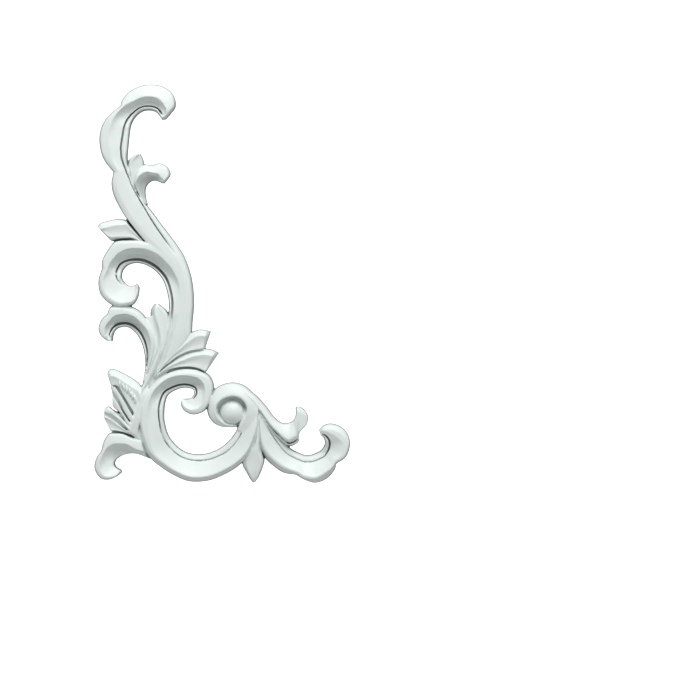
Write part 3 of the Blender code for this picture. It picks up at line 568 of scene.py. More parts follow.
def lower_hook(carving):
    """The smaller C-shaped scroll under the upper hook, its tip turned down on the left."""
    ribs = [
        (-1, 21, -3.8, 20), (1, 28, -2.4, 28.5), (3.6, 36, -2.8, 36.5),
        (4.9, 43.5, -4.6, 43.4), (3.2, 51, -7.8, 48.8), (-0.5, 57, -11, 51.7),
        (-5, 62.2, -13.8, 52.8), (-11, 65.4, -16.2, 52.6), (-18, 66.2, -18.2, 52),
        (-23.2, 65, -19.6, 51), (-25.1, 60.8, -20.3, 50), (-28.8, 57, -20.9, 48.6),
        (-30.4, 51.6, -21.3, 46.9), (-28.6, 47.2, -21.3, 45.5), (-25, 44.3, -21.4, 44.4),
    ]
    carving.scroll(
        ribs, (10,),
        rise={0: 8.5, 2: 10, 4: 11.5, 13: 11.5, 14: 10.5},
        edge={2: 0.8, 3: 1.8, 4: 2.8, 8: 2.8, 9: 2, 10: 1.2, 14: 0.8},
        edge_drop={2: 0.8, 3: 1.6, 4: 2.6, 8: 2.6, 9: 1.8, 10: 1.2, 14: 0.8},
        band={2: 3, 3: 4, 5: 4.5, 7: 5.3, 8: 5.9, 9: 6.5, 10: 4.2, 12: 4.4, 13: 3.5, 14: 1.5},
        drop=0.3,
        cove={0: 0.3, 2: 1.4, 3: 3, 4: 5, 5: 6.2, 9: 6.2, 11: 4.6, 12: 3, 13: 2, 14: 1},
        hollow={2: 0.4, 5: 1, 11: 1, 12: 0.6},
        bead={0: 0.2, 1: 0.7, 2: 0.9, 10: 1, 12: 0.8, 13.5: 0},
        rim={0: 2.2, 2: 2.4, 4: 3.6, 10: 3.4, 12: 3.2, 14: 2.4},
        groove={0: 0.9, 2: 1, 4: 1.5, 6: 1.9, 10: 1.9, 12: 1.4},
    )


def ring(carving):
    """The large ring scroll, from its small curled tip round to the right arm."""
    ribs = [
        (19.2, 8.6, 20.6, 9.6), (19.4, 5, 22.6, 9.9), (22, 1.8, 24.4, 10),
        (26.5, 0.2, 25.6, 10.6), (32, 1.6, 26.5, 11.7), (36, 5.5, 27, 13),
        (38.3, 11.5, 26.8, 14.3), (39.2, 17.5, 26.2, 15.4), (36.8, 23.5, 25, 15.8),
        (31.5, 26.9, 22.8, 16.2), (24.5, 28.2, 20, 16.1), (16.8, 27.4, 17.2, 15.3),
        (9.6, 24.7, 14.2, 13.9), (2.8, 19.6, 11.6, 11.8), (-2, 13, 10.2, 8.4),
        (-5.2, 4, 9.4, 3.2), (-6, -7.5, 9.5, -3.4), (-2.8, -20, 11.4, -10.8),
        (1, -26.2, 14, -15.2), (7, -31.2, 17.6, -19), (14.5, -36, 21.8, -21.8),
        (24.5, -39.9, 27.6, -23.3), (36.5, -39.2, 34.8, -22.9), (47.5, -34.6, 41.5, -20.3),
        (54.8, -29.7, 46, -17.2), (60.5, -23.5, 49.6, -13.4), (64, -15.5, 52.2, -9.4),
        (66.2, -6.5, 54, -5), (66, 1.5, 55.8, -0.5), (64, 8, 57.3, 4.8),
    ]
    carving.scroll(
        ribs,
        rise={0: 10.5, 2: 12.5, 4: 13, 26: 13, 27: 12.9, 28: 12.2, 29: 9},
        edge={0: 0.8, 6: 1.2, 8: 2, 9: 2.9, 12: 2.6, 13: 2.6, 14: 2, 15: 1.4, 16: 1.8, 17: 2.2,
              19: 2.4, 25: 2.4, 27: 1.4, 29: 0.8},
        edge_drop={0: 0.8, 6: 1.2, 8: 2, 9: 2.8, 12: 2.8, 13: 2.6, 14: 1.8, 15: 1.4, 16: 3.4,
                   17: 4.4, 20: 5, 24: 5, 26: 3, 27: 1.4, 29: 0.8},
        band={0: 1, 2: 2.5, 4: 3.5, 6: 5, 7: 5.9, 8: 6.2, 10: 4.8, 11: 3.9, 12: 3.2, 14: 3.6,
              15: 4.4, 16: 5, 17: 4.5, 18: 3.6, 20: 3.2, 24: 3.2, 26: 2.6, 29: 2.4},
        drop={13: 0.5, 16: 0.3, 20: 0.1},
        cove={0: 1, 2: 2.2, 4: 3, 6: 3.2, 7: 4.4, 8: 5.8, 13: 6, 14: 4.6, 15: 3, 16: 2.4, 17: 2.8,
              18: 3.6, 20: 4.6, 23: 4.6, 25: 3.2, 27: 1.8, 29: 1.2},
        hollow={5: 0.5, 7: 1, 14: 1, 15: 0.6, 17: 0.2, 24: 0.1, 27: 0.4},
        bead={3: 0, 4: 0.8, 5: 1, 27: 1, 28: 0.6, 29: 0},
        lean={15: 0, 17: 0.4, 19: 1, 25: 1, 27: 0.3, 28: 0},
        rim={4: 1.8, 7: 2.6, 9: 3, 12: 3.2, 13: 3.6, 15: 4.2, 16: 3.8, 17: 4.4, 24: 4.5, 27: 3.8},
        groove={4: 0.8, 7: 1.2, 9: 1.4, 16: 1.4, 18: 0.9, 27: 0.8},
    )


def ball_scroll(carving):
    """The end of the ring's right arm, which curls over and round the ball."""
    ribs = [
        (63, -15, 53.2, -9.4), (66, -6.5, 55.2, -5), (66.9, 1.5, 58, 0),
        (65.5, 8.5, 58.7, 4.4), (61.5, 14.5, 56.7, 8.3), (56.5, 18.3, 53.5, 10.5),
        (50.5, 19.7, 50.1, 11.1), (44.3, 18.6, 46.7, 10.5), (39.7, 15.9, 43.7, 8.6),
        (36.4, 11, 41.6, 5.8), (34.9, 5, 41.2, 2.4), (35.4, 0, 42.2, -0.4),
        (38.5, -4.6, 43.9, -2.6), (43.5, -7, 46.3, -4.6), (49, -7.3, 49.6, -5.5),
        (53.5, -7.2, 53, -5.6),
    ]
    carving.length(
        ribs, roll_profile,
        rise={0: 10.4, 1: 11.9, 2: 12.8, 3: 13.2, 9: 13, 12: 12.4, 14: 11, 15: 9.5},
        drop={0: 0.2, 2: 0.3, 3: 1.2, 4: 2.8, 5: 3.6, 8: 3.6, 10: 2.4, 13: 2.4, 15: 2},
        inside={8: 0.3, 9: 0.8, 10: 1.4, 12: 1.6, 14: 0.8, 15: 0.2},
    )


def shoulder_leaf(carving):
    """The leaf that leaves the ball scroll at the top and curls up on the right."""
    ribs = [
        (57, 17.6, 55, 12.5), (64, 12.4, 60.5, 8), (70.5, 5.4, 66, 0),
        (75.4, -1.2, 71.5, -7.5), (80, -4.5, 77, -13.5), (84.2, -4.4, 83.5, -18.8),
        (86.4, -3, 89.6, -16.2), (87.5, -1.4, 90.4, -10.6), (88, 0.6, 94.4, -6),
        (88, 2.6, 95.5, -1), (87.9, 4.2, 93.4, 3.2), (88.6, 5.3, 91, 4.9),
    ]
    carving.scroll(
        ribs,
        rise={0: 11.5, 1: 12.8, 2: 12.4, 6: 12, 9: 11.5, 11: 10},
        edge={0: 1, 2: 1.6, 5: 1.4, 7: 1, 11: 0.7},
        edge_drop={0: 1.2, 2: 1.8, 5: 1.6, 7: 1, 11: 0.7},
        band={0: 2.5, 1: 4, 2: 5.4, 3: 6, 4: 7.4, 5: 10.6, 6: 9.4, 6.6: 4.5, 8: 1.8, 11: 1},
        drop={0: 1.6, 2: 2.4, 4: 2.8, 5: 3.4, 6: 2.4, 7: 0.8, 8: 0.2},
        cove={0: 0.6, 3: 1, 4: 2.4, 5: 4.4, 6: 3, 7: 1.4, 8: 1.4, 10: 1, 11: 0.6},
        hollow={6: 0, 7: 0.2, 8: 1},
        bead={1: 0, 2: 0.9, 5: 1, 6.4: 0.8, 7: 0},
        rim={1: 0.8, 2: 2.2, 5: 2.4, 6: 2.2, 7: 0.8},
        groove=0.8,
    )


def foot_scroll(carving):
    """The long scroll at the lower right, ending in a round volute."""
    ribs = [
        (62.5, 6, 66, 7), (65, -3, 71, 2), (65.2, -12, 73.5, -5.5),
        (66.5, -20, 77.5, -11.5), (69.9, -26.2, 81, -15.8), (75, -31, 84.2, -19.2),
        (80.8, -34.7, 87.6, -21.4), (88.2, -35.9, 91.2, -23), (93, -38.8, 93.8, -23.9),
        (100, -40.7, 97.2, -23.7), (107, -38, 100.4, -22.5), (111.4, -33, 102.8, -21.2),
        (112.5, -29.2, 104, -20), (118.2, -25.2, 105, -18.4), (120.7, -18, 105.5, -16.6),
        (119.6, -12, 105.3, -15.2), (115.8, -7.3, 104.8, -14), (110, -5, 104.2, -13.2),
        (105, -5.9, 103.5, -12.6), (101.9, -9, 102.9, -11.9),
    ]
    carving.scroll(
        ribs, (7, 12),
        rise={0: 9, 1: 11.4, 3: 12, 17: 12, 18: 11.5, 19: 10},
        edge={0: 0.8, 2: 1.8, 3: 2.2, 4: 2.6, 6: 2.6, 7: 1.2, 8: 1.2, 9: 2.4, 10: 3.2, 11: 2,
              12: 1, 14: 1.4, 15: 3, 16: 4.4, 17: 4.4, 18: 2.4, 19: 0.8},
        edge_drop={0: 1, 2: 2, 3: 4.6, 4: 7, 6: 7, 7: 3, 8: 2.6, 9: 5, 10: 7, 11: 5, 12: 1.2,
                   14: 1.2, 15: 1.6, 16: 2.2, 17: 2.4, 18: 1.4, 19: 0.8},
        band={0: 2, 3: 3.2, 4: 4, 6: 4, 7: 2.4, 8: 2.8, 9: 3.6, 10: 4.2, 11: 2.8, 12: 2, 14: 4,
              15: 7, 16: 7.8, 17: 6.2, 18: 3.6, 19: 1.4},
        drop={18: 0.2, 19: 0.4},
        cove={0: 0.5, 2: 1.6, 4: 3.4, 6: 4.4, 10: 4.8, 12: 4.4, 13: 3.8, 14: 2.6, 15: 1.4, 16: 0.9,
              17: 0.7, 19: 0.5},
        hollow={0: 0.2, 10: 0.1, 14: 0.1, 16: 0.3, 18: 0.6},
        bead={0: 0, 1: 0.6, 2: 1, 15: 1, 17: 0.7, 18.5: 0},
        lean={1: 0, 3: 0.7, 4: 1, 10: 1, 12: 0.4, 14: 0},
        rim={0: 2, 1: 2.6, 3: 3.8, 5: 4.4, 9: 4.8, 11: 4.8, 13: 4, 15: 3.2, 17: 2.2, 19: 1.4},
        groove={0: 0.9, 5: 0.8, 11: 0.9, 14: 1.3},
    )


def corner_scroll(carving):
    """The short hook at the lower left corner."""
    ribs = [
        (-1, -15, 2, -26.8), (-9, -12.9, -7, -23.5), (-15, -10.6, -12, -23.3),
        (-20, -10.3, -16, -24.4), (-24.2, -11.2, -18.4, -25.8), (-27.2, -15.6, -19.6, -27),
        (-28.8, -21.4, -20, -27.9), (-32, -26.6, -20.2, -28.8), (-32.7, -32.4, -20, -29.9),
        (-29.4, -37.8, -19.4, -30.8), (-24.5, -38.9, -18.4, -31.6), (-19.6, -37.1, -17.2, -32.3),
        (-16.2, -34.6, -15.9, -33),
    ]
    carving.scroll(
        ribs, (6,),
        rise={0: 3, 0.3: 4.8, 0.52: 10.2, 1: 10.8, 2: 11.2, 9: 11.2, 11: 10.8, 12: 9.5},
        edge={5: 1.5, 7: 1.2, 12: 0.8}, edge_drop={5: 1.5, 7: 1.2, 12: 0.8},
        band={1: 8, 2: 7.2, 4: 7, 5: 4.5, 6: 2, 7: 3, 10: 2.6, 12: 1},
        drop={0: 0.6, 3: 1, 5: 0.7, 6: 0.3},
        cove={0: 1, 1: 3, 2: 5, 4: 5.6, 6: 5.2, 7: 4.6, 9: 4, 11: 2.8, 12: 1.2},
        hollow={0: 0.5, 3: 1, 5: 1, 7: 0.6, 9: 0.2},
        rim=0.8,
    )


def stem_curl(carving):
    """The small curl that grows from the right side of the stem."""
    ribs = [
        (-4, 127.5, -0.5, 126), (-7.2, 133.6, -1.7, 130.5), (-9, 139.6, -1.9, 135),
        (-7.3, 145.5, -1, 137.6), (-3.2, 150.2, 0.6, 139.4), (1.5, 150, 2.6, 140.4),
        (6.5, 151.1, 4.4, 140.4), (11, 149, 5.6, 140), (13.1, 144.6, 6.6, 139.6),
        (11.4, 141.3, 7.2, 139.3), (9.4, 138.8, 7.9, 138.9),
    ]
    carving.scroll(
        ribs,
        rise={0: 5, 1: 6.5, 2: 9.5, 3: 10.8, 9: 10.8, 10: 9.4},
        edge={0: 0.8, 3: 1, 4: 2, 7: 2, 9: 1, 10: 0.7},
        edge_drop={0: 0.8, 2: 1, 3: 0.6, 4: 1.6, 7: 1.8, 9: 1, 10: 0.7},
        band={1: 1.2, 2: 1.4, 3: 2.6, 4: 4.6, 5: 4.6, 6: 6.6, 7: 7.6, 8: 5.8, 10: 1.2},
        drop={0: 0.2, 3: 0.6, 4: 1.6, 5: 1.6, 7: 0.8, 9: 0.4},
        cove={0: 1, 1: 2.6, 2: 5.4, 3: 6.6, 5: 7, 6: 5.8, 7: 3.4, 8: 1.6, 10: 0.6},
        rim=0.6,
    )


def stem_bud(carving):
    """The bud between the stem and its small curl."""
    ribs = [
        (-10.5, 132, -6, 134), (-12.6, 146, -5.2, 144.5), (-12.6, 151, -2.8, 149.6),
        (-11.2, 154, -3.3, 153.2), (-7.6, 156.6, -5, 156.7),
    ]
    carving.blade(
        ribs,
        rise={0: 7, 1: 10.4, 3: 10.4, 4: 9.8}, bevel=1.6, bevel_drop=1.6,
        fall={0: 0.4, 1: 2.4, 3: 2.2, 4: 0.6}, sag=0.9, far_bevel=1.2,
        far_drop={2: 0.4, 3: 1.6},
    )


def side_leaf(carving):
    """The broad leaf that points left from the stem."""
    ribs = [
        (-1, 104, -2, 101), (-8, 111.5, -9.5, 104.3), (-13.3, 117.2, -14.5, 104.6),
        (-19.5, 117.6, -19, 104.5), (-25, 116.5, -22.6, 104.5), (-29.6, 115, -25.5, 107.2),
        (-30.7, 112.8, -29.2, 111),
    ]
    carving.blade(
        ribs, (2,),
        rise={0: 10, 1: 11.5, 2: 12, 4: 12, 5: 11.8, 6: 11},
        bevel={0: 2, 2: 2.6, 2.6: 3.6}, bevel_drop={1.6: 5, 2.4: 3.8, 6: 3.4},
        fall=0.5, sag=0.6, far_bevel=1.9, far_drop=5,
    )


def hook_bud(carving):
    """The bud inside the upper hook, with the strip that runs down from it."""
    ribs = [
        (-7.5, 11, -3.5, 9.5), (-3.8, 19, 0.2, 17.5), (-0.6, 25.5, 3.4, 24),
        (1.8, 31.5, 6, 30), (4, 38, 9.3, 37), (4.8, 45, 12, 45),
        (3.6, 51, 13.2, 52), (1.6, 57, 13, 58.5), (0.8, 61, 10.8, 62.6),
        (1.6, 64.4, 8.2, 65), (3.4, 66.9, 5.9, 67),
    ]
    carving.blade(
        ribs,
        rise={0: 11.5, 2: 11.8, 4: 11.2, 6: 10.6, 9: 10, 10: 8.5},
        bevel={0: 1.6, 4: 2.2, 6: 2.8, 8: 2.8, 10: 1.6},
        bevel_drop={0: 1.8, 4: 2.4, 6: 5, 8: 6, 9: 4},
        fall={0: 1.4, 4: 1.2, 6: 0.2}, sag=0.3, far_bevel={0: 0.6, 4: 0.8, 6: 1.8},
        far_drop={0: 0.8, 6: 1.4},
    )


def plain_floor(carving, ribs, rise, bevel_drop, **sizes):
    """A flat floor between taller lengths, a little rounded along its outer edge."""
    carving.blade(ribs, rise=rise, bevel=1, bevel_drop=bevel_drop, fall=0, sag=0, **sizes)


def gathering_floor(carving):
    """The floor that joins the strips where the stem, the hooks and the leaves meet."""
    ribs = [
        (-9, -15.5, 3, -18.5), (-9, -3, 3, -3), (-6.5, 10, 5, 12),
        (-2.8, 20, 9, 22), (-1.2, 28, 14, 28), (0.5, 36, 18, 36),
        (2, 44, 18, 46), (0, 51, 15.5, 53), (-2, 56.5, 13.5, 58.5),
        (-2, 58.8, 9, 60.5),
    ]
    plain_floor(carving, ribs, {0: 8.6, 1: 9, 2: 8.2, 6: 8, 9: 7}, 0.5)


def fan_floor(carving):
    """The floor of the crease between the fan leaves and the ring."""
    ribs = [
        (2, 24, 4, 20), (9, 29, 11, 23), (17, 31, 17.5, 25),
        (24.5, 31, 24, 25), (31, 29.5, 29.5, 24), (34.6, 26.8, 33, 23.5),
    ]
    plain_floor(carving, ribs, 6.8, 0.3)


def leaf_root(carving):
    """The smooth face between the veined leaf and the left side of the ring."""
    ribs = [
        (-8.4, -13.6, -5.2, -14.6), (-13, -9.8, -6, -10.6), (-12.4, -5.5, -5.2, -6),
        (-10.2, -1, -4, -1.5), (-8.8, 4.5, -2.5, 5), (-6.4, 12, -0.5, 12),
        (-4, 18, 0.5, 18),
    ]
    carving.blade(
        ribs, rise={0: 9.4, 1: 10.8, 3: 11.8, 5: 11.6, 6: 9.5},
        bevel=2.4, bevel_drop={0: 1, 3: 0.8}, fall=0.2, sag=0, far_bevel=0.6,
        far_drop={0: 2, 2: 1.6, 3: 0.2}, wall=0.2,
    )


def fan_leaves(carving):
    """The two leaves that fan out over the ring."""
    upper = [
        (4, 26, 6, 25), (8.2, 32.5, 12, 30), (13, 38.8, 18, 34.5),
        (18.5, 44.6, 24, 37.4), (25, 49.4, 28.4, 38.4), (31, 51.4, 31.4, 38.8),
        (37.3, 50.3, 33.6, 39.4),
    ]
    lower = [
        (3, 22.8, 4.5, 21.8), (8, 28, 10, 25.7), (15, 33.6, 17.5, 27.9),
        (22, 37.6, 24.5, 28.4), (29.5, 39.6, 30, 27.2), (36.5, 39.7, 33.4, 25.6),
        (42.1, 37.4, 34.8, 26.4),
    ]
    for ribs, rise in ((upper, 12), (lower, 11.8)):
        carving.blade(
            ribs, rise={0: rise - 2, 1: rise - 0.4, 5.6: rise, 6: rise - 4.5},
            bevel=3.8, bevel_drop=3, fall=0.8, sag=0.7, far_bevel=0.8, far_drop=3,
        )


def lower_leaf(carving):
    """The pointed leaf that hangs between the ring and the foot scroll."""
    ribs = [
        (63.5, -5, 67.5, -5), (63, -14, 67.2, -14), (59, -22, 68.2, -21),
        (56, -29, 69.4, -26.8), (58.6, -34.8, 68, -32.2), (60.9, -38.8, 65.9, -37),
        (62.4, -40.7, 63.7, -40.3),
    ]
    carving.blade(
        ribs,
        rise={0: 10.5, 2: 11.2, 4: 10.6, 5: 9.6, 6: 8},
        bevel={0: 1.6, 2: 3.6, 3: 3, 4: 1.4}, bevel_drop={0: 1.5, 2: 3, 4: 1.4},
        fall=0, sag=0.5, far_bevel={0: 1.6, 2: 3, 3: 2.4, 4: 1.2},
        far_drop={0: 1.5, 2: 3, 4: 1.4},
    )


def veined_leaf_floors(carving):
    """The floors under the leaf at the left, which close the valleys between its lobes."""
    upper_floor = [
        (-4, 8, -9, -8), (-8, 19, -14.5, -1.5), (-14, 23, -18.5, 3.5),
        (-20, 26, -21.2, 9), (-23.5, 25.5, -23.3, 20),
    ]
    lower_floor = [
        (-4, -2, -5, -11.5), (-12, 1, -12.5, -10.8), (-18, 1.5, -19, -9.4),
        (-23, 4, -23.5, -7), (-26.9, 2.8, -27, -1.4),
    ]
    deep_floor = [
        (-6, -7, -6, -15.5), (-13, -8, -13, -14), (-19, -7, -18.5, -13),
        (-22.4, -7.5, -22.2, -12.5),
    ]
    for ribs, rise in ((upper_floor, 8), (lower_floor, 8), (deep_floor, 4.5)):
        plain_floor(carving, ribs, rise, 0.4, wall=0.2)


def lobe(carving, ribs, rise, bevel, bevel_drop, **sizes):
    """One lobe of the veined leaf. It runs into its neighbours, so its far edge is low."""
    usual = {"fall": 0, "sag": 0, "far_bevel": 0.5, "far_drop": 1.2, "wall": 0.1}
    usual.update(sizes)
    carving.blade(ribs, rise=rise, bevel=bevel, bevel_drop=bevel_drop, **usual)


def veined_leaf(carving):
    """The leaf at the left: five lobes, with a narrow valley between each two."""
    top_lobe = [
        (-3, 11, -8, -2), (-5, 18, -9.5, 1.5), (-10, 22.2, -12.5, 6.6),
        (-15.5, 25.3, -15.5, 11.9), (-20.5, 27.5, -18.9, 17), (-24, 27.2, -22, 17.5),
        (-25.1, 24.6, -23.3, 18.8),
    ]
    second_lobe = [
        (-7.9, -3.5, -9, -8), (-9.9, 0.6, -12, -3), (-12.9, 5.8, -15.2, 2),
        (-15.9, 11.2, -18, 8.2), (-19.4, 16.4, -20.9, 12.6), (-21.6, 18.2, -22.3, 14.4),
        (-23, 18.6, -23.2, 17.2),
    ]
    third_lobe = [
        (-9, -7, -10.5, -9), (-12.2, -2.6, -14.2, -4.5), (-15.6, 2.4, -16.3, -0.4),
        (-18.2, 7.2, -18.4, 2), (-21, 11.2, -20.8, 4.2), (-22, 12.4, -22, 5.8),
    ]
    fourth_lobe = [
        (-9.5, -8.2, -11.5, -10), (-13.2, -4.6, -14.6, -7), (-16.2, -1.4, -16.6, -4.8),
        (-19.4, 1, -19.4, -2.2), (-22.2, 4, -22.4, -0.1), (-24.5, 5.3, -24.8, 0.6),
        (-26.8, 3.6, -26.9, 1.3),
    ]
    fifth_lobe = [
        (-7.5, -10.5, -7.8, -13), (-13, -8.8, -13.5, -11.2), (-16.4, -6.1, -17.5, -10.2),
        (-19.6, -3.7, -20.5, -9.8), (-22.8, -1.4, -22.8, -9.6), (-26.3, 0, -24.6, -6.5),
        (-27.3, -0.6, -26.7, -2.4),
    ]
    lobe(
        carving, top_lobe, {0: 11.8, 4: 11.2, 6: 9.4},
        {0: 3.4, 1: 4.6, 2: 5.4, 4: 5, 5: 3.6}, 3.4, fall=0.6, sag=0.3, far_drop=1, wall=0.2,
    )
    lobe(
        carving, second_lobe, {0: 11.6, 4: 10.6, 6: 8.8}, {0: 1, 3: 1.2}, 1.2,
        fall=0.4, far_drop=1,
    )
    lobe(carving, third_lobe, {0: 11.2, 3: 10.2, 5: 8.6}, {0: 0.8, 3: 1.6}, 1.4, fall=0.3)
    lobe(carving, fourth_lobe, {0: 11, 4: 10.4, 6: 8.6}, {0: 1, 3: 2, 5: 3}, 1.8)
    lobe(
        carving, fifth_lobe, {0: 10.8, 3: 10, 6: 8.2}, {0: 0.8, 3: 1.4}, 1.4,
        fall=0.8, sag=0.6,
    )


def round_sections(middle, profile):
    """The rounds of a turned shape. The profile gives their radius and height."""
    centre = true_place(Vector((middle[0], 0.0, middle[1])), BALL_TOP - BALL_RADIUS)
    turns = [math.tau * side / BALL_SIDES for side in range(BALL_SIDES)]
    return [
        [centre + Vector((math.cos(turn) * radius, -height, math.sin(turn) * radius))
         for turn in turns]
        for radius, height in profile
    ]


def ball(carving):
    """The round ball and the floor of the hollow that it stands in."""
    floor = [(BALL_FLOOR_RADIUS, -BACK_REACH), (BALL_FLOOR_RADIUS, BALL_FLOOR_RISE)]
    carving.add(round_sections(BALL_FLOOR_CENTRE, floor))
    dome = [(BALL_RADIUS, -BACK_REACH)]
    for step in range(BALL_RINGS):
        angle = math.radians(90.0) * step / BALL_RINGS
        dome.append((
            BALL_RADIUS * math.cos(angle),
            BALL_TOP - BALL_RADIUS + BALL_RADIUS * math.sin(angle),
        ))
    carving.add(round_sections(BALL_CENTRE, dome))


def add_node(tree, kind, inputs=None, links=None, **settings):
    """Adds a node with its settings, input values and links.

    A link comes from a socket, or from a node, which stands for its first output.
    """
    node = tree.nodes.new(kind)
    for name, value in settings.items():
        setattr(node, name, value)
    for name, value in (inputs or {}).items():
        node.inputs[name].default_value = value
    for name, source in (links or {}).items():
        socket = source.outputs[0] if isinstance(source, bpy.types.Node) else source
        tree.links.new(socket, node.inputs[name])
    return node


def new_tree(name, numbers):
    """A Geometry Nodes tree with a geometry input, named numbers and a material."""
    tree = bpy.data.node_groups.new(name, "GeometryNodeTree")
    tree.interface.new_socket("Geometry", in_out="INPUT", socket_type="NodeSocketGeometry")
    for title, value in numbers.items():
        kind = "NodeSocketInt" if isinstance(value, int) else "NodeSocketFloat"
        socket = tree.interface.new_socket(title, in_out="INPUT", socket_type=kind)
        socket.default_value = value
    tree.interface.new_socket("Material", in_out="INPUT", socket_type="NodeSocketMaterial")
    tree.interface.new_socket("Geometry", in_out="OUTPUT", socket_type="NodeSocketGeometry")
    start = add_node(tree, "NodeGroupInput")
    return tree, start


def end_tree(tree, start, shape):
    """Ends a tree: real geometry, with the material on it."""
    real = add_node(tree, "GeometryNodeRealizeInstances", links={"Geometry": shape})
    links = {"Geometry": real, "Material": start.outputs["Material"]}
    painted = add_node(tree, "GeometryNodeSetMaterial", links=links)
    add_node(tree, "NodeGroupOutput", links={"Geometry": painted})


def bead_tree():
    """Sweeps a flattened round cord along lines drawn flat, then stands them upright."""
    tree, start = new_tree("bead_along_scroll", {"Sides": BEAD_SIDES, "Flatness": BEAD_FLATNESS})
    lines = add_node(tree, "GeometryNodeMeshToCurve", links={"Mesh": start.outputs["Geometry"]})
    level = add_node(tree, "GeometryNodeSetCurveNormal", mode="Z_UP", links={"Curve": lines})
    half = add_node(
        tree, "GeometryNodeInputNamedAttribute", data_type="FLOAT", inputs={"Name": "half_width"}
    )
    cord = add_node(
        tree, "GeometryNodeCurvePrimitiveCircle", inputs={"Radius": 1.0},
        links={"Resolution": start.outputs["Sides"]},
    )
    squash = add_node(
        tree, "ShaderNodeCombineXYZ", inputs={"X": 1.0, "Z": 1.0},
        links={"Y": start.outputs["Flatness"]},
    )
    flat_cord = add_node(tree, "GeometryNodeTransform", links={"Geometry": cord, "Scale": squash})
    swept = add_node(
        tree, "GeometryNodeCurveToMesh", inputs={"Fill Caps": True},
        links={"Curve": level, "Profile Curve": flat_cord, "Scale": half.outputs["Attribute"]},
    )
    upright = add_node(
        tree, "GeometryNodeTransform", inputs={"Rotation": (math.radians(90.0), 0.0, 0.0)},
        links={"Geometry": swept},
    )
    end_tree(tree, start, upright)
    return tree


def leaf_rib_tree():
    """Lays short tapered ribs side by side along the fold of the veined leaf."""
    numbers = {
        "Count": LEAF_RIBS, "Length": LEAF_RIB_LENGTH * MM, "Width": LEAF_RIB_WIDTH * MM,
        "Height": LEAF_RIB_HEIGHT * MM, "Seed": LEAF_RIB_SEED,
    }
    least_lean, most_lean = (math.radians(angle) for angle in LEAF_RIB_LEAN)
    tree, start = new_tree("short_leaf_ribs", numbers)
    fold = add_node(tree, "GeometryNodeMeshToCurve", links={"Mesh": start.outputs["Geometry"]})
    places = add_node(
        tree, "GeometryNodeResampleCurve", mode="COUNT",
        links={"Curve": fold, "Count": start.outputs["Count"]},
    )
    rib = add_node(tree, "GeometryNodeMeshIcoSphere", inputs={"Radius": 0.5, "Subdivisions": 3})
    size = add_node(
        tree, "ShaderNodeCombineXYZ",
        links={
            "X": start.outputs["Length"], "Y": start.outputs["Height"],
            "Z": start.outputs["Width"],
        },
    )
    turn = add_node(
        tree, "FunctionNodeRandomValue", data_type="FLOAT_VECTOR",
        inputs={"Min": (0.0, least_lean, 0.0), "Max": (0.0, most_lean, 0.0)},
        links={"Seed": start.outputs["Seed"]},
    )
    laid = add_node(
        tree, "GeometryNodeInstanceOnPoints",
        links={"Points": places, "Instance": rib, "Rotation": turn, "Scale": size},
    )
    end_tree(tree, start, laid)
    return tree


def line_object(name, lines, half_widths=None):
    """A mesh of plain lines, with the half width of the cord at each point."""
    points = []
    edges = []
    for line in lines:
        first = len(points)
        points.extend(tuple(value * MM for value in point) for point in line)
        edges.extend((first + step, first + step + 1) for step in range(len(line) - 1))
    mesh = bpy.data.meshes.new(name)
    mesh.from_pydata(points, edges, [])
    if half_widths:
        attribute = mesh.attributes.new("half_width", "FLOAT", "POINT")
        for index, value in enumerate(half_widths):
            attribute.data[index].value = value * MM
    made = bpy.data.objects.new(name, mesh)
    bpy.context.scene.collection.objects.link(made)
    return made


def evaluated(thing):
    """The plain mesh of an object with its modifiers applied."""
    bpy.context.view_layer.update()
    graph = bpy.context.evaluated_depsgraph_get()
    return bpy.data.meshes.new_from_object(thing.evaluated_get(graph))


def grown(maker, tree, material):
    """The plain mesh that a tree makes from an object. The object itself is removed."""
    modifier = maker.modifiers.new(tree.name, "NODES")
    modifier.node_group = tree
    for item in tree.interface.items_tree:
        if item.name == "Material" and item.in_out == "INPUT":
            modifier[item.identifier] = material
    mesh = evaluated(maker)
    maker.modifiers.clear()
    bpy.data.objects.remove(maker)
    return mesh


def beads(carving, material):
    """The raised bead along the inner edge of each scroll."""
    lines = [[point[:3] for point in line] for line in carving.beads]
    half_widths = [point[3] for line in carving.beads for point in line]
    return grown(line_object("bead_lines", lines, half_widths), bead_tree(), material)


def leaf_ribs(material):
    """The short ribs between the top edge and the first vein of the veined leaf."""
    fold = [
        true_place(Vector((x, 0.0, z)), -y) + Vector((0.0, y, 0.0)) for x, y, z in LEAF_FOLD
    ]
    return grown(line_object("leaf_fold", [fold]), leaf_rib_tree(), material)


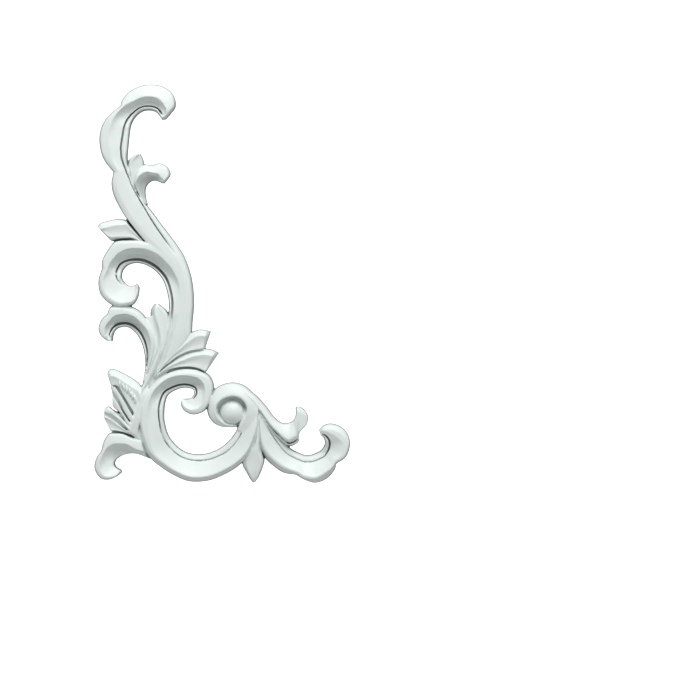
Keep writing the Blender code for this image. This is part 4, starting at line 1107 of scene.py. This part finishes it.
def cast(carving, extra_meshes, material):
    """Joins everything into one casting, softens its edges and cuts its back flat."""
    work = bmesh.new()
    mesh = bpy.data.meshes.new("carving")
    mesh.from_pydata([tuple(point) for point in carving.points], [], carving.faces)
    work.from_mesh(mesh)
    for extra in extra_meshes:
        work.from_mesh(extra)
    bmesh.ops.triangulate(work, faces=work.faces)
    work.to_mesh(mesh)
    work.free()
    casting = bpy.data.objects.new("pvc_casting", mesh)
    bpy.context.scene.collection.objects.link(casting)
    remesh = casting.modifiers.new("cast", "REMESH")
    remesh.mode = "VOXEL"
    remesh.voxel_size = CASTING_GRAIN * MM
    soften = casting.modifiers.new("soften", "SMOOTH")
    soften.factor = SOFTENING
    soften.iterations = SOFTENING_PASSES
    fine = evaluated(casting)
    triangles = sum(len(polygon.vertices) - 2 for polygon in fine.polygons)
    casting.modifiers.clear()
    casting.data = fine
    thin = casting.modifiers.new("thin", "DECIMATE")
    thin.ratio = min(1.0, CARVING_TRIANGLES / triangles)
    casting.data = evaluated(casting)
    casting.modifiers.clear()
    cut_back(casting.data)
    casting.data.materials.clear()
    casting.data.materials.append(material)
    return casting


def cut_back(mesh):
    """Cuts the casting off at the plane of its back, and closes it there."""
    work = bmesh.new()
    work.from_mesh(mesh)
    bmesh.ops.bisect_plane(
        work, geom=work.verts[:] + work.edges[:] + work.faces[:], dist=CUT_TOLERANCE,
        plane_co=(0.0, 0.0, 0.0), plane_no=(0.0, 1.0, 0.0), clear_outer=True,
    )
    rim = [edge for edge in work.edges if edge.is_boundary]
    for face in work.faces:
        face.smooth = True
    filled = bmesh.ops.triangle_fill(work, use_beauty=True, use_dissolve=False, edges=rim)
    for item in filled["geom"]:
        if isinstance(item, bmesh.types.BMFace):
            item.smooth = False
    for edge in rim:
        if edge.is_valid:
            edge.smooth = False
    bmesh.ops.recalc_face_normals(work, faces=work.faces)
    work.to_mesh(mesh)
    work.free()


def linear(hex_colour):
    """An sRGB hex colour as the linear numbers that a shader takes."""
    channels = [int(hex_colour[place:place + 2], 16) / 255.0 for place in (0, 2, 4)]
    values = [
        channel / 12.92 if channel <= 0.04045 else ((channel + 0.055) / 1.055) ** 2.4
        for channel in channels
    ]
    return (*values, 1.0)


def pvc_colour(tree, place, cloud):
    """Cool white, with painted shade: greyer towards the back edge, and grey in the narrow grooves
    and creases.
    """
    white = add_node(
        tree, "ShaderNodeMix", data_type="RGBA",
        inputs={MIX_FIRST: linear(PVC_SHADE), MIX_SECOND: linear(PVC_WHITE)},
        links={"Factor": cloud},
    )
    # Painted shade: the back and the lower half of the side walls are painted greyer towards the
    # back edge
    apart = add_node(tree, "ShaderNodeSeparateXYZ", links={"Vector": place})
    near_back = add_node(
        tree, "ShaderNodeMapRange",
        inputs={"From Min": -BACK_SHADE_HEIGHT * MM, "From Max": -FOOT_HEIGHT * MM},
        links={"Value": apart.outputs["Y"]},
    )
    back_shaded = add_node(
        tree, "ShaderNodeMix", data_type="RGBA", inputs={MIX_SECOND: linear(BACK_SHADE_GREY)},
        links={"Factor": near_back, MIX_FIRST: white.outputs[MIX_RESULT]},
    )
    # Painted shade: grey in the narrow grooves and creases, where little light reaches them
    reach = add_node(
        tree, "ShaderNodeAmbientOcclusion", samples=12, only_local=True,
        inputs={"Distance": GROOVE_SHADE_REACH * MM},
    )
    groove_shade_amount = add_node(
        tree, "ShaderNodeMapRange",
        inputs={"From Min": GROOVE_SHADE_STARTS, "From Max": GROOVE_SHADE_DARKEST, "To Max": GROOVE_SHADE_COVER},
        links={"Value": reach.outputs["AO"]},
    )
    # Mixes in the grey of the painted groove shade
    groove_shaded = add_node(
        tree, "ShaderNodeMix", data_type="RGBA", inputs={MIX_SECOND: linear(GROOVE_SHADE_GREY)},
        links={"Factor": groove_shade_amount, MIX_FIRST: back_shaded.outputs[MIX_RESULT]},
    )
    return groove_shaded.outputs[MIX_RESULT]


def pvc_grain(tree, place):
    """Fine mould grain, 0.9 mm across, on broad waves of 8 mm where the casting shrank."""
    waves = add_node(
        tree, "ShaderNodeTexNoise", inputs={"Scale": WAVES, "Detail": 1.0},
        links={"Vector": place},
    )
    grain = add_node(
        tree, "ShaderNodeTexNoise", inputs={"Scale": GRAINS, "Detail": 2.0},
        links={"Vector": place},
    )
    broad = add_node(
        tree, "ShaderNodeBump", inputs={"Strength": 0.25, "Distance": WAVE_HEIGHT * MM},
        links={"Height": waves},
    )
    fine = add_node(
        tree, "ShaderNodeBump", inputs={"Strength": 0.35, "Distance": GRAIN_HEIGHT * MM},
        links={"Height": grain, "Normal": broad},
    )
    return fine.outputs["Normal"]


def moulded_pvc():
    """White PVC pressed in a mould: satin, slightly cool, with faint mould texture."""
    material = bpy.data.materials.new("moulded_white_pvc")
    material.use_nodes = True
    tree = material.node_tree
    shader = tree.nodes["Principled BSDF"]
    shader.inputs["IOR"].default_value = PVC_IOR
    shader.inputs["Metallic"].default_value = 0.0
    place = add_node(tree, "ShaderNodeTexCoord").outputs["Object"]
    # Faint cloudiness where the melt cooled unevenly, about 25 mm across
    cloud = add_node(
        tree, "ShaderNodeTexNoise", inputs={"Scale": CLOUDS, "Detail": 3.0, "Roughness": 0.55},
        links={"Vector": place},
    ).outputs["Fac"]
    # Satin sheen that varies a little, as a mould's polish does
    smoothest, roughest = PVC_ROUGHNESS
    satin = add_node(
        tree, "ShaderNodeMapRange", inputs={"To Min": smoothest, "To Max": roughest},
        links={"Value": cloud},
    )
    tree.links.new(pvc_colour(tree, place, cloud), shader.inputs["Base Color"])
    tree.links.new(satin.outputs["Result"], shader.inputs["Roughness"])
    tree.links.new(pvc_grain(tree, place), shader.inputs["Normal"])
    return material


def plain_material(name, hex_colour, glow=0.0):
    """A plain finish for the floor and the backdrop."""
    material = bpy.data.materials.new(name)
    material.use_nodes = True
    shader = material.node_tree.nodes["Principled BSDF"]
    shader.inputs["Base Color"].default_value = linear(hex_colour)
    shader.inputs["Roughness"].default_value = 0.9
    shader.inputs["Emission Color"].default_value = linear(hex_colour)
    shader.inputs["Emission Strength"].default_value = glow
    return material


def backdrop_round_all():
    """A white backdrop all round, which lights nothing and isn't mirrored in the casting."""
    bpy.ops.mesh.primitive_uv_sphere_add(segments=64, ring_count=32, radius=BACKDROP_RADIUS)
    backdrop = bpy.context.object
    backdrop.name = "studio_backdrop"
    backdrop.data.materials.append(plain_material("white_backdrop", "FFFFFF", 1.0))
    backdrop.visible_diffuse = False
    backdrop.visible_glossy = False
    backdrop.visible_transmission = False
    backdrop.visible_shadow = False
    return backdrop


def studio():
    """A pale floor far below, a white backdrop all round and soft lights."""
    bpy.ops.mesh.primitive_circle_add(
        vertices=96, radius=FLOOR_RADIUS, fill_type="NGON", location=(0.0, 0.0, -FLOOR_DROP)
    )
    floor = bpy.context.object
    floor.name = "studio_floor"
    floor.data.materials.append(plain_material("pale_floor", "F4F4F4"))
    backdrop_round_all()
    world = bpy.data.worlds.new("studio_air")
    bpy.context.scene.world = world
    world.use_nodes = True
    air = world.node_tree.nodes["Background"]
    air.inputs["Color"].default_value = linear("FFFFFF")
    air.inputs["Strength"].default_value = AIR_STRENGTH
    for name, (offset, side, power) in SOFT_LIGHTS.items():
        soft_light(name, Vector(offset), side, power)


def soft_light(name, offset, side, power):
    """A square soft light that points at the ornament."""
    data = bpy.data.lights.new(name, "AREA")
    data.size = side
    data.energy = power
    light = bpy.data.objects.new(name, data)
    target = Vector(LIT_MIDDLE)
    light.location = target + offset
    light.rotation_euler = (target - light.location).to_track_quat("-Z", "Y").to_euler()
    bpy.context.scene.collection.objects.link(light)


def camera():
    """A level camera straight in front of the middle of the picture."""
    data = bpy.data.cameras.new("camera")
    data.sensor_width = SENSOR_WIDTH
    data.lens = SENSOR_WIDTH * VIEW_DISTANCE / VIEW_WIDTH
    data.clip_end = FARTHEST_SEEN
    made = bpy.data.objects.new("camera", data)
    made.location = (VIEW_MIDDLE + Vector((0.0, -VIEW_DISTANCE, 0.0))) * MM
    made.rotation_euler = (math.radians(90.0), 0.0, 0.0)
    bpy.context.scene.collection.objects.link(made)
    bpy.context.scene.camera = made
    bpy.context.scene.view_settings.view_transform = "Standard"


def ornament():
    """The whole ornament as one casting."""
    pvc = moulded_pvc()
    carving = Carving()
    for carve in (
        stem, upper_hook, lower_hook, ring, ball_scroll, ball, foot_scroll, shoulder_leaf,
        corner_scroll, stem_curl, stem_bud, side_leaf, hook_bud, fan_leaves, fan_floor,
        lower_leaf, veined_leaf_floors, veined_leaf, leaf_root, gathering_floor,
    ):
        carve(carving)
    casting = cast(carving, [beads(carving, pvc), leaf_ribs(pvc)], pvc)
    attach(casting, "root")
    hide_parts("corner_ornament")


ornament()
studio()
camera()
